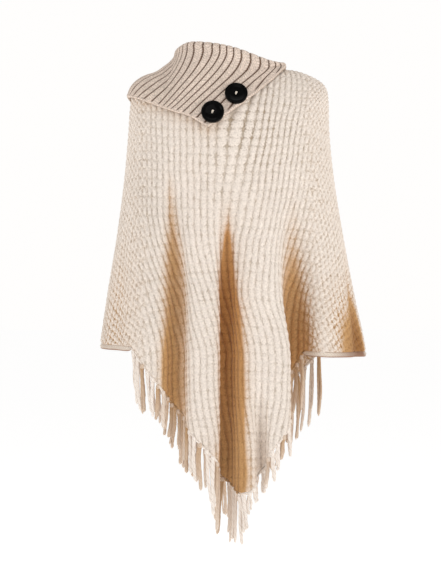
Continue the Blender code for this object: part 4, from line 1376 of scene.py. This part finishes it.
def modelButton():
    thick = button["thickness"]
    piece = addCylinder(button["corners"], button["radius"], thick, (0, 0, thick / 2))
    bpy.ops.object.transform_apply(location=True, rotation=True, scale=True)
    bpy.ops.object.mode_set(mode="EDIT")
    bpy.ops.mesh.select_mode(type="FACE")
    insetFaces(piece.data, 1, button["bowl"])
    insetFaces(piece.data, -1, [button["foot"]])
    bpy.ops.object.mode_set(mode="OBJECT")
    edge = piece.modifiers.new("edge", "BEVEL")
    edge.width, edge.segments, angle = button["edge"]
    edge.limit_method, edge.angle_limit = "ANGLE", math.radians(angle)
    drills = []
    for sign in (-1, 1):
        place = (0, sign * button["holeOffset"], 0)
        drills.append(addCylinder(button["holeCorners"], button["holeRadius"], thick * 4, place))
        hole = piece.modifiers.new("hole", "BOOLEAN")
        hole.operation, hole.object, hole.solver = "DIFFERENCE", drills[-1], "EXACT"
    bpy.context.view_layer.objects.active = piece
    for modifier in list(piece.modifiers):
        bpy.ops.object.modifier_apply(modifier=modifier.name)
    for drill in drills:
        bpy.data.objects.remove(drill, do_unlink=True)
    piece.data.materials.clear()
    piece.data.materials.append(glossFinish)
    piece.data.shade_smooth()
    piece.select_set(True)
    bpy.ops.object.shade_smooth_by_angle(angle=math.radians(button["smoothAngle"]))
    return piece


def modelStitch():
    # thread through both holes, in two strands over the bowl
    bundle = Bundle()
    radius, sides, rings, *twist = button["thread"]
    apart, closing, depth, rise = button["strands"]
    turn = np.linspace(-1.0, 1.0, rings)
    height = button["thickness"] - button["dish"] - depth + rise * (1.0 - turn**6)
    for sign in (-1, 1):
        aside = sign * apart * radius * (1.0 - closing * turn**2)
        path = np.stack([aside, button["holeOffset"] * turn, height], axis=1)
        bundle.add(tube(path, np.full(rings, radius), sides, *twist), 0.0)
    return bundle.piece("thread", threadFinish)


def placed(source, name, lean):
    mesh = source.data.copy()
    mesh.transform(lean)
    return addObject(name, mesh)


buttonModel, stitchModel = modelButton(), modelStitch()
for name in ("button_lower", "button_upper"):
    corners = np.array([vert.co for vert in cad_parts[name].data.vertices])
    corners = np.unique(corners.round(6), axis=0)
    low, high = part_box(name)
    centre = np.array((low + high) / 2)
    normal = np.linalg.svd(corners - centre, full_matrices=False)[2][2]
    normal = normal if normal[1] < 0.0 else -normal  # out from the chest
    seat = ((corners - centre) @ normal).min()
    lean = Vector(normal).to_track_quat("Z", "X").to_matrix().to_4x4()
    turn = Matrix.Rotation(math.radians(button["stitchTurn"]), 4, "Z")
    lean = Matrix.Translation(Vector(centre + normal * seat)) @ lean @ turn
    disc = placed(buttonModel, name + "_gloss", lean)
    thread = placed(stitchModel, name + "_thread", lean)
    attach(disc, "root")
    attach(thread, "root")
    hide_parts(name)
for model in (buttonModel, stitchModel):
    bpy.data.objects.remove(model, do_unlink=True)
print("buttons made")


# What each piece stands for
stands = {
    "front_panel": frontPanel, "back_panel": backPanel, "collar": collarPiece,
    "cuff_left": cuffs["left"], "cuff_right": cuffs["right"],
    "fringe_front": fringes["front"], "fringe_back": fringes["back"],
}
for node, piece in stands.items():
    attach(piece, "root")
    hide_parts(node)


# Studio: a pale floor far below, soft lamps with their place, size and power, and the camera
studio = {
    "floorZ": -1.45,
    "floorSize": 60.0,
    "paint": {
        "Base Color": (0.93, 0.93, 0.93, 1.0),
        "Roughness": 1.0,
        "Specular IOR Level": 0.0,
        "Emission Color": (1.0, 1.0, 1.0, 1.0),
        "Emission Strength": 0.57,
    },
    "air": (1.0, 0.99, 0.98, 1.0),
    "world": 0.45,
    "lampColour": (1.0, 0.985, 0.965),
    "lamps": {
        "left": ((-2.6, -1.7, 0.5), 1.8, 20.0),
        "right": ((2.7, -1.7, 0.5), 1.8, 30.0),
        "front": ((0.0, -3.2, 1.6), 1.5, 8.0),
        "top": ((0.0, -0.3, 2.2), 1.6, 8.0),
        "behind": ((0.0, 2.8, 0.6), 2.0, 14.0),
    },
    "aim": (0.0, 0.0, -0.42),
    "camera": (-0.013, -3.0, -0.422),
    "frameHeight": 1.132,
}


def makeStudio():
    bpy.ops.object.select_all(action="DESELECT")
    bpy.ops.mesh.primitive_plane_add(size=studio["floorSize"], location=(0, 0, studio["floorZ"]))
    floor = bpy.context.active_object
    floor.name = "studio_floor"
    floor.data.materials.append(newMaterial("studio_white", studio["paint"], lambda start: {}))
    world = bpy.data.worlds.new("studio_air")
    bpy.context.scene.world = world
    world.use_nodes = True
    tree = world.node_tree
    sky = tree.nodes["Background"]
    sky.inputs["Color"].default_value = studio["air"]
    ray = Field(tree).node("LightPath", {}, {}, 0)
    strength = studio["world"] + ray * (1.0 - studio["world"])
    tree.links.new(strength.socket, sky.inputs["Strength"])
    for name, (place, size, power) in studio["lamps"].items():
        lamp = bpy.data.lights.new(name + "_softbox", "AREA")
        lamp.shape, lamp.size, lamp.energy = "SQUARE", size, power
        lamp.color = studio["lampColour"]
        holder, away = addObject(lamp.name, lamp), Vector(studio["aim"]) - Vector(place)
        holder.location = place
        holder.rotation_euler = away.to_track_quat("-Z", "Y").to_euler()
    lens = bpy.data.cameras.new("camera")
    lens.sensor_fit = "VERTICAL"
    lens.angle_y = 2 * math.atan(studio["frameHeight"] / 2 / abs(studio["camera"][1]))
    camera = addObject("camera", lens)
    camera.location, camera.rotation_euler = studio["camera"], (math.pi / 2, 0.0, 0.0)
    bpy.context.scene.camera = camera
    bpy.context.scene.view_settings.view_transform = "Standard"


makeStudio()
print("studio made")
